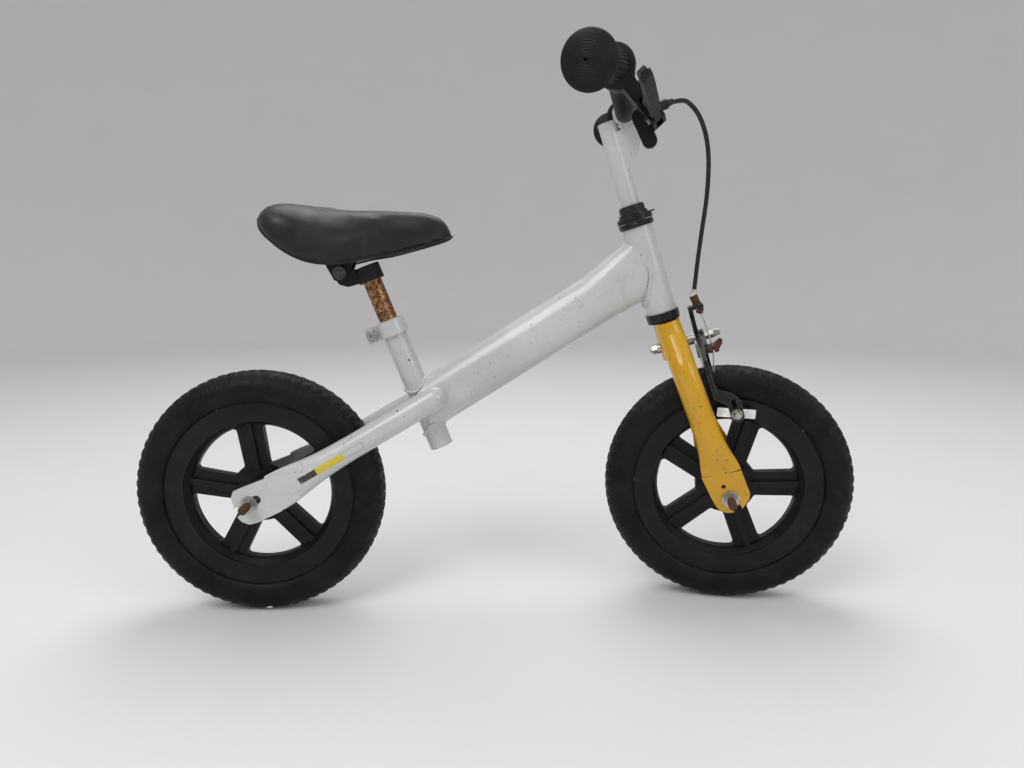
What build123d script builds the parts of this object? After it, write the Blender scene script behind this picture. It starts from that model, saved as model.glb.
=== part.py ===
"""A child's balance bike with a front side-pull brake, as separate pieces.

Millimetres, +Z up, +X forward, +Y to the rider's left. The origin is the centre of the rear axle.
Three frames of reference carry everything: the bike itself, the seat tube, and the steering axis.
The steered pieces are drawn at the rest angle, with the wheel turned a little to the right.
"""

import os
from math import atan2, cos, degrees, radians, sin, sqrt, tan

from build123d import *

os.makedirs("parts", exist_ok=True)

# Wheels and axles
TYRE_RADIUS = 150.0
TYRE_WIDTH = 52.0
RIM_RADIUS = 113.0
RIM_WIDTH = 38.0
RIM_LIP_RADIUS = 91.0
WINDOW_RADIUS = 84.0
WHEELBASE = 575.8
HUB_RADIUS = 17.0
HUB_LENGTH = 92.0
SPOKES = 5
BEARING_OUTER = 13.0
BEARING_WIDTH = 8.0
AXLE_RADIUS = 5.0
AXLE_HALF_LENGTH = 80.0
DROPOUT_INSIDE = 53.0
DROPOUT_THICKNESS = 4.0
REAR_SPOKE_ANGLE = 97.5
FRONT_SPOKE_ANGLE = 57.6

# Frame
HEAD_ANGLE = 17.6
HEAD_BASE = (490.6, 0.0, 214.8)
HEAD_LENGTH = 105.0
HEAD_RADIUS = 18.0
SEAT_ANGLE = 21.0
SEAT_BASE = (220.9, 0.0, 53.5)
SEAT_TUBE_LENGTH = 166.0
SEAT_TUBE_RADIUS = 14.3
POST_RADIUS = 11.1
STAY_RADIUS = 14.3
MAIN_HEIGHT = 60.0
MAIN_WIDTH = 42.0

# Front end
STEER_REST = -12.3
STEERER_RADIUS = 12.7
BLADE_RADIUS = 15.0
BLADE_WALL = 2.0
BLADE_SPREAD = 46.0
BAR_RADIUS = 11.1
BAR_HALF_WIDTH = 240.0
BAR_CENTRE = (22.5, 0.0, 231.0)
GRIP_LENGTH = 82.0
QUILL_RADIUS = 11.1
BOLT_HEIGHT = -42.7
CABLE_DIAMETER = 5.0


def leaning(base, angle, turn=0.0):
    """A frame on a tube that leans back and is turned about itself: local z up the tube, x forward."""
    lean = radians(angle)
    tube = Vector(-sin(lean), 0, cos(lean))
    ahead = Vector(cos(lean), 0, sin(lean)).rotate(Axis((0, 0, 0), tube), turn)
    return Plane(origin=base, x_dir=ahead, z_dir=tube)


bike = Plane.XY
seat = leaning(SEAT_BASE, SEAT_ANGLE)
head = leaning(HEAD_BASE, HEAD_ANGLE)
steer = leaning(HEAD_BASE, HEAD_ANGLE, STEER_REST)
AXLE_AHEAD = (WHEELBASE - HEAD_BASE[0]) * cos(radians(HEAD_ANGLE)) - HEAD_BASE[2] * sin(radians(HEAD_ANGLE))
AXLE_BELOW = (WHEELBASE - HEAD_BASE[0]) * sin(radians(HEAD_ANGLE)) + HEAD_BASE[2] * cos(radians(HEAD_ANGLE))


def point(frame, x, y, z):
    """A place given in one of the frames, as a place on the bike."""
    return frame.from_local_coords(Vector(x, y, z))


def along(frame, x, y, z):
    """A direction given in one of the frames, as a direction on the bike."""
    return (frame.x_dir * x + frame.y_dir * y + frame.z_dir * z).normalized()


def up(frame, x=0, y=0, z=0):
    """A sketch plane across the frame's z axis."""
    return Plane(point(frame, x, y, z), x_dir=frame.x_dir, z_dir=frame.z_dir)


def forward(frame, x=0, y=0, z=0):
    """A sketch plane that faces forward: its x is the frame's y and its y is the frame's z."""
    return Plane(point(frame, x, y, z), x_dir=frame.y_dir, z_dir=frame.x_dir)


def right(frame, x=0, y=0, z=0):
    """A sketch plane that faces the rider's right: its x is forward and its y is up the frame."""
    return Plane(point(frame, x, y, z), x_dir=frame.x_dir, z_dir=-frame.y_dir)


def radial(side):
    """The half plane of a turned piece: its x is the radius and its y runs along the side plane's z."""
    return Plane(side.origin, x_dir=side.x_dir, z_dir=side.x_dir.cross(side.z_dir))


def facing(base, toward, keep):
    """A plane at base whose z runs toward a direction and whose x stays close to keep."""
    z_dir = Vector(toward).normalized()
    x_dir = (Vector(keep) - z_dir * Vector(keep).dot(z_dir)).normalized()
    return Plane(base, x_dir=x_dir, z_dir=z_dir)


def axis(plane):
    """The axis of a plane, through its origin."""
    return Axis(plane.origin, plane.z_dir)


def save(name, label):
    """Names a finished piece and writes its file."""
    name.part.label = label
    export_step(name.part, f"parts/{label}.step")


# ---------------------------------------------------------------- frame tubes

with BuildPart() as head_tube:
    with BuildSketch(head) as ring:
        Circle(HEAD_RADIUS)
        Circle(15.0, mode=Mode.SUBTRACT)
    extrude(amount=HEAD_LENGTH)
head_tube.part.label = "head_tube"
export_step(head_tube.part, "parts/head_tube.step")

with BuildPart() as seat_tube:
    with BuildSketch(seat) as ring:
        Circle(SEAT_TUBE_RADIUS)
        Circle(POST_RADIUS + 0.1, mode=Mode.SUBTRACT)
    extrude(amount=SEAT_TUBE_LENGTH)
    with BuildSketch(right(seat, -SEAT_TUBE_RADIUS, 0, SEAT_TUBE_LENGTH - 14)) as slit:
        Rectangle(20, 30)
    extrude(amount=1.2, both=True, mode=Mode.SUBTRACT)
seat_tube.part.label = "seat_tube"
export_step(seat_tube.part, "parts/seat_tube.step")

MAIN_SLOPE = 31.4
MAIN_START = (200.0, 0.0, 101.6)
MAIN_REACH = 320.0
main_line = facing(MAIN_START, (cos(radians(MAIN_SLOPE)), 0, sin(radians(MAIN_SLOPE))), (0, 1, 0))
with BuildPart() as main_tube:
    with BuildSketch(main_line.offset(-2)) as rear_oval:
        Ellipse(MAIN_WIDTH / 2, MAIN_HEIGHT / 2)
    with BuildSketch(main_line.offset(245)) as front_oval:
        Ellipse(MAIN_WIDTH / 2, MAIN_HEIGHT / 2 + 0.6)
    loft()
    with BuildSketch(main_line.offset(245)) as flare_start:
        Ellipse(MAIN_WIDTH / 2, MAIN_HEIGHT / 2 + 0.6)
    flare_plane = main_line.offset(MAIN_REACH)
    with BuildSketch(Plane(flare_plane.origin + flare_plane.y_dir * 4, x_dir=flare_plane.x_dir,
                           z_dir=flare_plane.z_dir)) as flare_end:
        Ellipse(MAIN_WIDTH / 2 - 3.5, MAIN_HEIGHT / 2 + 6.5)
    loft()
    with BuildSketch(main_line.offset(8)) as bore:
        Ellipse(MAIN_WIDTH / 2 - 2, MAIN_HEIGHT / 2 - 2)
    extrude(amount=MAIN_REACH - 80, mode=Mode.SUBTRACT)
    with BuildSketch(up(head, 60, 0, -40)) as ahead:
        Rectangle(120, 60)
    extrude(amount=HEAD_LENGTH + 80, mode=Mode.SUBTRACT)
    with BuildSketch(up(head, 0, 0, -40)) as head_cope:
        Circle(HEAD_RADIUS)
    extrude(amount=HEAD_LENGTH + 80, mode=Mode.SUBTRACT)
    with BuildSketch(up(seat, -40, 0, -60)) as behind:
        Rectangle(80, 60)
    extrude(amount=SEAT_TUBE_LENGTH + 60, mode=Mode.SUBTRACT)
    with BuildSketch(up(seat, 0, 0, -60)) as seat_cope:
        Circle(SEAT_TUBE_RADIUS)
    extrude(amount=SEAT_TUBE_LENGTH + 60, mode=Mode.SUBTRACT)
main_tube.part.label = "main_tube"
export_step(main_tube.part, "parts/main_tube.step")


def flattened(plane, width, thickness):
    """One cross-section of a tube that is pressed flat: an oval of that width and thickness."""
    with BuildSketch(plane) as oval:
        Ellipse(width / 2, thickness / 2)
    return oval.sketch


STAY_FRONT = Vector(216, 0, 118)
STAY_REAR = Vector(30, 0, 13)
STAY_FRONT_SPREAD = 35.0
STAY_WALL = 1.8
DROPOUT_SPREAD = DROPOUT_INSIDE + DROPOUT_THICKNESS / 2


def stay(side):
    """A stay tube from the main tube's flank back to its flattened, slotted end. side is -1 for right."""
    front = STAY_FRONT + Vector(0, side * STAY_FRONT_SPREAD, 0)
    rear = STAY_REAR + Vector(0, side * DROPOUT_SPREAD, 0)
    run = (front - rear).normalized()
    length = (front - rear).length
    across = Vector(-sin(radians(29.5)), 0, cos(radians(29.5)))
    with BuildPart() as piece:
        cuts = [(0, 45.0, DROPOUT_THICKNESS), (16, 44.0, 9.0), (42, 37.0, 20.0), (74, 30.5, 27.0),
                (104, 2 * STAY_RADIUS, 2 * STAY_RADIUS)]
        loft(sections=[flattened(facing(rear + run * distance, run, across), width, thickness)
                       for distance, width, thickness in cuts])
        with BuildSketch(facing(rear + run * cuts[-1][0], run, across)) as tube:
            Circle(STAY_RADIUS)
        extrude(amount=length - cuts[-1][0])
        with Locations(Location(front)):
            Sphere(STAY_RADIUS)
        plate_side = Plane((0, side * DROPOUT_SPREAD, 0), x_dir=(1, 0, 0), z_dir=(0, -1, 0))
        with BuildSketch(plate_side) as plate:
            with BuildLine() as outline:
                Polyline((41.5, 42.2), (24.5, 32.5), (-4.5, 21.5), (-17, 16.2), (-19.5, 9.5), (-15.5, -12.5),
                         (-9, -20.5), (0, -24), (10, -21.5), (36.5, -8.8), (61.2, 8.2), close=True)
            make_face()
        extrude(amount=DROPOUT_THICKNESS / 2, both=True)
        with BuildSketch(plate_side) as slot:
            with Locations(Location((-6, -3.7), 32)):
                SlotCenterToCenter(36, 10.3)
        extrude(amount=DROPOUT_THICKNESS, both=True, mode=Mode.SUBTRACT)
        bore_width = 2 * (STAY_RADIUS - STAY_WALL)
        hollow = [(40, 32.0, 14.5), (74, 26.5, 23.0), (104, bore_width, bore_width)]
        loft(sections=[flattened(facing(rear + run * distance, run, across), width, thickness)
                       for distance, width, thickness in hollow], mode=Mode.SUBTRACT)
        with BuildSketch(facing(rear + run * cuts[-1][0], run, across)) as bore:
            Circle(STAY_RADIUS - STAY_WALL)
        extrude(amount=length - cuts[-1][0], mode=Mode.SUBTRACT)
        add(main_tube.part, mode=Mode.SUBTRACT)
        with BuildSketch(main_line.offset(2)) as inside:
            Ellipse(MAIN_WIDTH / 2 - 2, MAIN_HEIGHT / 2 - 2)
        extrude(amount=60, mode=Mode.SUBTRACT)
    return piece


right_stay = stay(-1)
right_stay.part.label = "right_stay"
export_step(right_stay.part, "parts/right_stay.step")

left_stay = stay(1)
left_stay.part.label = "left_stay"
export_step(left_stay.part, "parts/left_stay.step")

CLAMP_LOW = 147.0
CLAMP_HEIGHT = 18.0
CLAMP_RADIUS = 18.0
CLAMP_BOLT = (-24.0, 0.0, CLAMP_LOW + CLAMP_HEIGHT / 2)
with BuildPart() as seat_clamp:
    with BuildSketch(up(seat, 0, 0, CLAMP_LOW)) as band:
        Circle(CLAMP_RADIUS)
        with Locations((-22, 0)):
            RectangleRounded(20, 17, 3)
        Circle(SEAT_TUBE_RADIUS, mode=Mode.SUBTRACT)
        with Locations((-24, 0)):
            Rectangle(26, 2.4, mode=Mode.SUBTRACT)
    extrude(amount=CLAMP_HEIGHT)
    with BuildSketch(right(seat, *CLAMP_BOLT)) as hole:
        Circle(3.1)
    extrude(amount=20, both=True, mode=Mode.SUBTRACT)
seat_clamp.part.label = "seat_clamp"
export_step(seat_clamp.part, "parts/seat_clamp.step")

with BuildPart() as seat_clamp_bolt:
    with BuildSketch(right(seat, CLAMP_BOLT[0], 0, CLAMP_BOLT[2])) as shank:
        Circle(3.0)
    extrude(amount=13.0, both=True)
    with BuildSketch(right(seat, CLAMP_BOLT[0], -8.5, CLAMP_BOLT[2])) as head:
        Circle(7.0)
    extrude(amount=5.0)
    fillet(seat_clamp_bolt.faces().sort_by(axis(right(seat)))[-1].edges(), 1.2)
    with BuildSketch(right(seat, CLAMP_BOLT[0], -13.5, CLAMP_BOLT[2])) as socket:
        RegularPolygon(2.9, 6)
    extrude(amount=-3.0, mode=Mode.SUBTRACT)
    with BuildSketch(right(seat, CLAMP_BOLT[0], 8.5, CLAMP_BOLT[2])) as nut:
        RegularPolygon(5.8, 6)
    extrude(amount=-5.0)
seat_clamp_bolt.part.label = "seat_clamp_bolt"
export_step(seat_clamp_bolt.part, "parts/seat_clamp_bolt.step")

# ---------------------------------------------------------------- wheels


def turned(side, outline):
    """A turned ring: outline is a list of (radius, distance along the axle) points."""
    with BuildSketch(radial(side)) as section:
        with BuildLine():
            Polyline(*outline, close=True)
        make_face()
    revolve(section.sketch, axis=axis(side))


def make_wheel(side, spoke_angle):
    """The moulded wheel: rim channel, five ribbed spokes, windows between them, and the hub barrel."""
    half_rim = RIM_WIDTH / 2
    inner = Vector(37, 0).rotate(Axis.Z, 12)
    outer = Vector(WINDOW_RADIUS, 0).rotate(Axis.Z, 25)
    with BuildSketch() as window:
        with BuildLine():
            Line(inner, outer)
            ThreePointArc(outer, (WINDOW_RADIUS, 0), (outer.X, -outer.Y))
            Line((outer.X, -outer.Y), (inner.X, -inner.Y))
            ThreePointArc((inner.X, -inner.Y), (37, 0), inner)
        make_face()
        fillet(window.vertices(), 4.0)
    with BuildPart() as piece:
        turned(side, [(RIM_LIP_RADIUS - 7, -4.5), (RIM_LIP_RADIUS - 5, -9), (RIM_LIP_RADIUS, -15),
                      (RIM_LIP_RADIUS, -half_rim), (RIM_RADIUS, -half_rim), (RIM_RADIUS, -14),
                      (107, -13), (107, 13), (RIM_RADIUS, 14), (RIM_RADIUS, half_rim),
                      (RIM_LIP_RADIUS, half_rim), (RIM_LIP_RADIUS, 15), (RIM_LIP_RADIUS - 5, 9),
                      (RIM_LIP_RADIUS - 7, 4.5)])
        with BuildSketch(side):
            Circle(RIM_LIP_RADIUS - 4)
            with PolarLocations(0, SPOKES, start_angle=spoke_angle + 180 / SPOKES):
                add(window.sketch, mode=Mode.SUBTRACT)
        extrude(amount=5, both=True)
        with BuildSketch(side) as ribs:
            with PolarLocations(57, SPOKES, start_angle=spoke_angle):
                Rectangle(64, 7)
        extrude(amount=9, both=True)
        with BuildSketch(side) as boss:
            RegularPolygon(33, SPOKES, rotation=spoke_angle + 180 / SPOKES)
            fillet(boss.vertices(), 6)
        extrude(amount=11, both=True)
        with BuildSketch(side) as barrel:
            Circle(HUB_RADIUS)
        extrude(amount=HUB_LENGTH / 2, both=True)
        with BuildSketch(side) as bore:
            Circle(7.5)
        extrude(amount=HUB_LENGTH, both=True, mode=Mode.SUBTRACT)
        for end in (-1, 1):
            with BuildSketch(side.offset(end * HUB_LENGTH / 2)) as pocket:
                Circle(BEARING_OUTER)
            extrude(amount=-end * BEARING_WIDTH, mode=Mode.SUBTRACT)
    return piece


def make_tyre(side):
    """The foam tyre: a squarish section with a tongue in the rim channel, and shallow tread blocks."""
    half = TYRE_WIDTH / 2
    with BuildPart() as piece:
        with BuildSketch(radial(side)) as section:
            with BuildLine() as line:
                Polyline((107, 12.8), (RIM_RADIUS, 13.9), (RIM_RADIUS, half - 5.5), (118, half - 1.5),
                         (126, half), (135, half - 0.8))
                ThreePointArc((135, half - 0.8), (145.2, half - 9.5), (TYRE_RADIUS - 0.8, 0))
                ThreePointArc((TYRE_RADIUS - 0.8, 0), (145.2, 9.5 - half), (135, 0.8 - half))
                Polyline((135, 0.8 - half), (126, -half), (118, 1.5 - half), (RIM_RADIUS, 5.5 - half),
                         (RIM_RADIUS, -13.9), (107, -12.8), (107, 12.8))
            make_face()
        revolve(axis=axis(side))
        with BuildSketch(side) as block:
            with PolarLocations(TYRE_RADIUS - 2.5, 72):
                Rectangle(5.0, 7.6)
        extrude(amount=6.5, both=True)
    return piece


def make_bearings(side):
    """The two ball bearings in the hub, each as its ring with the shield recessed."""
    inner = HUB_LENGTH / 2 - BEARING_WIDTH
    outer = HUB_LENGTH / 2
    with BuildPart() as piece:
        for end in (-1, 1):
            turned(side, [(AXLE_RADIUS + 0.05, end * inner), (BEARING_OUTER, end * inner),
                          (BEARING_OUTER, end * outer), (11.2, end * outer), (11.2, end * (outer - 0.8)),
                          (7.2, end * (outer - 0.8)), (7.2, end * outer), (AXLE_RADIUS + 0.05, end * outer)])
    return piece


def make_axle(side):
    """The threaded axle, with its ends chamfered."""
    with BuildPart() as piece:
        with BuildSketch(side.offset(-AXLE_HALF_LENGTH)) as rod:
            Circle(AXLE_RADIUS)
        extrude(amount=2 * AXLE_HALF_LENGTH)
        chamfer(piece.edges().filter_by(GeomType.CIRCLE), 0.8)
    return piece


def make_axle_nuts(side):
    """The washer and the hexagon nut outside each dropout: four separate pieces."""
    face = DROPOUT_INSIDE + DROPOUT_THICKNESS
    with BuildPart() as piece:
        for end in (-1, 1):
            with BuildSketch(side.offset(end * face)) as washer:
                Circle(10.5)
                Circle(AXLE_RADIUS + 0.3, mode=Mode.SUBTRACT)
            extrude(amount=end * 1.6)
            with BuildSketch(side.offset(end * (face + 1.65))) as nut:
                RegularPolygon(8.6, 6)
                Circle(AXLE_RADIUS, mode=Mode.SUBTRACT)
            extrude(amount=end * 8.0)
    return piece


def make_spacers(side):
    """The two tubes that hold the bearings' inner rings off the dropouts."""
    with BuildPart() as piece:
        for end in (-1, 1):
            with BuildSketch(side.offset(end * (HUB_LENGTH / 2 + 0.3))) as tube:
                Circle(7.4)
                Circle(AXLE_RADIUS + 0.05, mode=Mode.SUBTRACT)
            extrude(amount=end * (DROPOUT_INSIDE - HUB_LENGTH / 2 - 0.3))
    return piece


rear_side = right(bike)
front_side = right(steer, AXLE_AHEAD, 0, -AXLE_BELOW)
for end_name, wheel_side, spokes_from in (("rear", rear_side, REAR_SPOKE_ANGLE),
                                          ("front", front_side, FRONT_SPOKE_ANGLE)):
    save(make_wheel(wheel_side, spokes_from), f"{end_name}_wheel")
    save(make_tyre(wheel_side), f"{end_name}_tyre")
    save(make_bearings(wheel_side), f"{end_name}_hub_bearings")
    save(make_axle(wheel_side), f"{end_name}_axle")
    save(make_axle_nuts(wheel_side), f"{end_name}_axle_nuts")
    save(make_spacers(wheel_side), f"{end_name}_axle_spacers")

# ---------------------------------------------------------------- headset and fork

with BuildPart() as headset_cups:
    turned(up(steer), [(15, 8), (13.4, 8), (13.4, -2.6), (18.3, -2.6), (18.3, -7), (20, -7), (20, 0), (15, 0)])
    turned(up(steer), [(15, HEAD_LENGTH - 8), (13.4, HEAD_LENGTH - 8), (13.4, HEAD_LENGTH + 2.2),
                       (18.3, HEAD_LENGTH + 2.2), (18.3, HEAD_LENGTH + 6.6), (20, HEAD_LENGTH + 6.6),
                       (21, HEAD_LENGTH + 4), (20, HEAD_LENGTH), (15, HEAD_LENGTH)])
headset_cups.part.label = "headset_cups"
export_step(headset_cups.part, "parts/headset_cups.step")

with BuildPart() as crown_race:
    with BuildSketch(up(steer, 0, 0, -11.5)) as ring:
        Circle(19.6)
        Circle(STEERER_RADIUS, mode=Mode.SUBTRACT)
    extrude(amount=4.1)
    fillet(crown_race.edges().filter_by(GeomType.CIRCLE).sort_by(axis(steer))[0], 0.8)
crown_race.part.label = "crown_race"
export_step(crown_race.part, "parts/crown_race.step")

BALL_RADIUS = 2.0
with BuildPart() as headset_balls:
    for ball_height in (-5.0, HEAD_LENGTH + 4.6):
        with Locations(up(steer, 0, 0, ball_height)):
            with PolarLocations(15.9, 16):
                Sphere(BALL_RADIUS)
headset_balls.part.label = "headset_balls"
export_step(headset_balls.part, "parts/headset_balls.step")

with BuildPart() as headset_cone:
    with BuildSketch(up(steer, 0, 0, HEAD_LENGTH + 7.0)) as ring:
        Circle(21.0)
        Circle(STEERER_RADIUS, mode=Mode.SUBTRACT)
    extrude(amount=5.5)
    fillet(headset_cone.edges().filter_by(GeomType.CIRCLE).sort_by(axis(steer))[-1], 0.8)
headset_cone.part.label = "headset_cone"
export_step(headset_cone.part, "parts/headset_cone.step")

with BuildPart() as headset_washer:
    with BuildSketch(up(steer, 0, 0, HEAD_LENGTH + 12.5)) as ring:
        Circle(19.0)
        with Locations((21, 0)):
            RectangleRounded(8, 7, 1.5)
        Circle(STEERER_RADIUS, mode=Mode.SUBTRACT)
    extrude(amount=1.8)
headset_washer.part.label = "headset_washer"
export_step(headset_washer.part, "parts/headset_washer.step")

LOCKNUT_LOW = HEAD_LENGTH + 14.3
with BuildPart() as headset_locknut:
    with BuildSketch(up(steer, 0, 0, LOCKNUT_LOW)) as skirt:
        Circle(17.2)
        Circle(STEERER_RADIUS, mode=Mode.SUBTRACT)
    extrude(amount=3.2)
    with BuildSketch(up(steer, 0, 0, LOCKNUT_LOW + 3.2)) as body:
        Circle(15.2)
        Circle(STEERER_RADIUS, mode=Mode.SUBTRACT)
        with PolarLocations(15.4, 24):
            Rectangle(1.2, 1.6, mode=Mode.SUBTRACT)
    extrude(amount=7.0)
    with BuildSketch(up(steer, 0, 0, LOCKNUT_LOW + 10.2)) as lid:
        Circle(14.2)
        Circle(QUILL_RADIUS + 0.1, mode=Mode.SUBTRACT)
    extrude(amount=1.8)
headset_locknut.part.label = "headset_locknut"
export_step(headset_locknut.part, "parts/headset_locknut.step")

STEERER_TOP = LOCKNUT_LOW + 10.0
with BuildPart() as fork_steerer:
    with BuildSketch(up(steer, 0, 0, -11.5)) as upper:
        Circle(STEERER_RADIUS)
    extrude(amount=STEERER_TOP + 11.5)
    with BuildSketch(up(steer, 0, 0, -58)) as lower:
        Circle(14.3)
    extrude(amount=46.5)
    with BuildSketch(up(steer, 0, 0, -58)) as bore:
        Circle(QUILL_RADIUS + 0.1)
    extrude(amount=STEERER_TOP + 80, mode=Mode.SUBTRACT)
    with BuildSketch(forward(steer, -30, 0, BOLT_HEIGHT)) as brake_hole:
        Circle(3.1)
    extrude(amount=60, mode=Mode.SUBTRACT)
fork_steerer.part.label = "fork_steerer"
export_step(fork_steerer.part, "parts/fork_steerer.step")

BLADE_TOP_AHEAD = 2.6
BLADE_LEAN = (AXLE_AHEAD - BLADE_TOP_AHEAD) / (AXLE_BELOW - 12)


def blade_ahead(height):
    """How far the blade's centreline stands ahead of the steering axis at a height below the race."""
    return BLADE_TOP_AHEAD + (-12 - height) * BLADE_LEAN


def fork_blade(side):
    """A unicrown blade: it curves out from the steerer, runs down, and is pressed flat at the axle."""
    spots = [(13, -12), (18, -32), (43, -68), (BLADE_SPREAD, -100), (BLADE_SPREAD, -132)]
    path = [point(steer, blade_ahead(height), side * spread, height) for spread, height in spots]
    foot = point(steer, blade_ahead(-132), side * BLADE_SPREAD, -132)
    ankle = point(steer, blade_ahead(-199), side * DROPOUT_SPREAD, -199)
    run = (ankle - foot).normalized()
    side_axis = along(steer, 1, 0, BLADE_LEAN)
    drop = (ankle - foot).length
    with BuildPart() as piece:
        with BuildLine() as spine:
            FilletPolyline(*path, radius=[24, 32, 60])
        with BuildSketch(facing(path[0], path[1] - path[0], steer.x_dir)) as tube:
            Circle(BLADE_RADIUS)
        sweep(path=spine.line)
        cuts = [(0, 30.6, 30.6), (20, 31.8, 27.0), (42, 37.0, 18.5), (58, 43.5, 8.5), (drop, 45.4, DROPOUT_THICKNESS)]
        loft(sections=[flattened(facing(foot + run * distance, run, side_axis), width, thickness)
                       for distance, width, thickness in cuts])
        with BuildLine() as core:
            FilletPolyline(*path, radius=[24, 32, 60])
        with BuildSketch(facing(path[0], path[1] - path[0], steer.x_dir)) as bore:
            Circle(BLADE_RADIUS - BLADE_WALL)
        sweep(path=core.line, mode=Mode.SUBTRACT)
        plate_side = right(steer, AXLE_AHEAD, side * DROPOUT_SPREAD, -AXLE_BELOW)
        with BuildSketch(plate_side) as plate:
            with BuildLine() as outline:
                Polyline((-25.5, 34.0), (-19.5, -2.0), (-16.5, -9.5), (-9, -15.5), (2, -17.5), (10, -15.0),
                         (20.5, -5.0), (23.0, 2.0), (20.7, 31.2), close=True)
            make_face()
        extrude(amount=DROPOUT_THICKNESS / 2, both=True)
        with BuildSketch(plate_side) as slot:
            with Locations(Location((2.8, -8.6), 108)):
                SlotCenterToCenter(18, 10.3)
            with Locations((-4, 17)):
                Circle(2.6)
        extrude(amount=DROPOUT_THICKNESS, both=True, mode=Mode.SUBTRACT)
        with BuildSketch(up(steer, 0, 0, -80)) as cope:
            Circle(14.3)
        extrude(amount=90, mode=Mode.SUBTRACT)
        with BuildSketch(up(steer, 0, -side * 30, -120)) as far_half:
            Rectangle(120, 60)
        extrude(amount=130, mode=Mode.SUBTRACT)
        with BuildSketch(up(steer, 0, 0, -11.5)) as above:
            Rectangle(120, 140)
        extrude(amount=30, mode=Mode.SUBTRACT)
        with BuildSketch(forward(steer, -40, 0, BOLT_HEIGHT)) as brake_hole:
            Circle(3.1)
        extrude(amount=80, mode=Mode.SUBTRACT)
    return piece


right_fork_blade = fork_blade(-1)
right_fork_blade.part.label = "right_fork_blade"
export_step(right_fork_blade.part, "parts/right_fork_blade.step")

with BuildPart() as left_fork_blade:
    mirror(right_fork_blade.part, about=Plane(steer.origin, x_dir=steer.x_dir, z_dir=steer.y_dir))
left_fork_blade.part.label = "left_fork_blade"
export_step(left_fork_blade.part, "parts/left_fork_blade.step")

# ---------------------------------------------------------------- stem, handlebar and grips

PINCH_AHEAD = BAR_CENTRE[0] + 15.5
with BuildPart() as stem_clamp_bolt:
    with BuildSketch(up(steer, PINCH_AHEAD, 0, 209)) as shank:
        Circle(2.5)
    extrude(amount=21)
    with BuildSketch(up(steer, PINCH_AHEAD, 0, 215.4)) as head:
        Circle(4.4)
    extrude(amount=-5)
    with BuildSketch(up(steer, PINCH_AHEAD, 0, 228.6)) as nut:
        RegularPolygon(4.2, 6)
    extrude(amount=4)
stem_clamp_bolt.part.label = "stem_clamp_bolt"
export_step(stem_clamp_bolt.part, "parts/stem_clamp_bolt.step")

STEM_TOP = 229.0
with BuildPart() as stem:
    with BuildSketch(up(steer, 0, 0, 66)) as quill:
        Circle(QUILL_RADIUS)
    extrude(amount=STEM_TOP - 66)
    with BuildSketch(right(steer)) as gusset:
        with BuildLine() as outline:
            Polyline((0, 168), (11, 172), (27, 189), (33.5, 204), (32, 222), (22, 226), (12.5, 216), (0, 214),
                     close=True)
        make_face()
        fillet(gusset.vertices().sort_by(Axis.X)[-3:-1], 3)
    extrude(amount=9, both=True)
    with BuildSketch(right(steer, *BAR_CENTRE)) as barrel:
        Circle(14.2)
        with Locations((13, -9)):
            Rectangle(15, 13)
    extrude(amount=17, both=True)
    with BuildSketch(right(steer, *BAR_CENTRE)) as bar_bore:
        Circle(BAR_RADIUS)
        with Locations((16, -8)):
            Rectangle(24, 2)
    extrude(amount=20, both=True, mode=Mode.SUBTRACT)
    with BuildSketch(up(steer, 0, 0, 216)) as top_bore:
        Circle(9.0)
    extrude(amount=20, mode=Mode.SUBTRACT)
    with BuildSketch(up(steer, 0, 0, 60)) as low_bore:
        Circle(8.6)
    extrude(amount=150, mode=Mode.SUBTRACT)
    with BuildSketch(up(steer, 0, 0, 200)) as bolt_hole:
        Circle(4.3)
    extrude(amount=20, mode=Mode.SUBTRACT)
    with BuildSketch(up(steer, PINCH_AHEAD, 0, 200)) as pinch_hole:
        Circle(2.5)
    extrude(amount=40, mode=Mode.SUBTRACT)
    add(stem_clamp_bolt.part, mode=Mode.SUBTRACT)
stem.part.label = "stem"
export_step(stem.part, "parts/stem.step")

with BuildPart() as stem_expander_bolt:
    with BuildSketch(up(steer, 0, 0, 42)) as shank:
        Circle(4.0)
    extrude(amount=176)
    with BuildSketch(up(steer, 0, 0, 216)) as head:
        Circle(6.5)
    extrude(amount=8)
    with BuildSketch(up(steer, 0, 0, 224)) as socket:
        RegularPolygon(3.4, 6)
    extrude(amount=-4, mode=Mode.SUBTRACT)
stem_expander_bolt.part.label = "stem_expander_bolt"
export_step(stem_expander_bolt.part, "parts/stem_expander_bolt.step")

with BuildPart() as stem_wedge:
    with BuildSketch(up(steer, 0, 0, 44)) as wedge:
        Circle(QUILL_RADIUS)
        Circle(4.1, mode=Mode.SUBTRACT)
    extrude(amount=21.9)
    chamfer(stem_wedge.edges().filter_by(GeomType.CIRCLE).sort_by(axis(steer))[-1], 2.4)
stem_wedge.part.label = "stem_wedge"
export_step(stem_wedge.part, "parts/stem_wedge.step")


BAR_END = (0.8, BAR_HALF_WIDTH, 249.5)
BAR_BEND = (23.5, 155.0, 253.5)


def bar_places():
    """The handlebar's corner points, from its right end to its left."""
    half = [(BAR_CENTRE[0], 42.0, BAR_CENTRE[2]), (23.0, 84.0, 252.0), BAR_BEND, BAR_END]
    places = [point(steer, x, -y, z) for x, y, z in reversed(half)]
    return places + [point(steer, x, y, z) for x, y, z in half]


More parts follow.
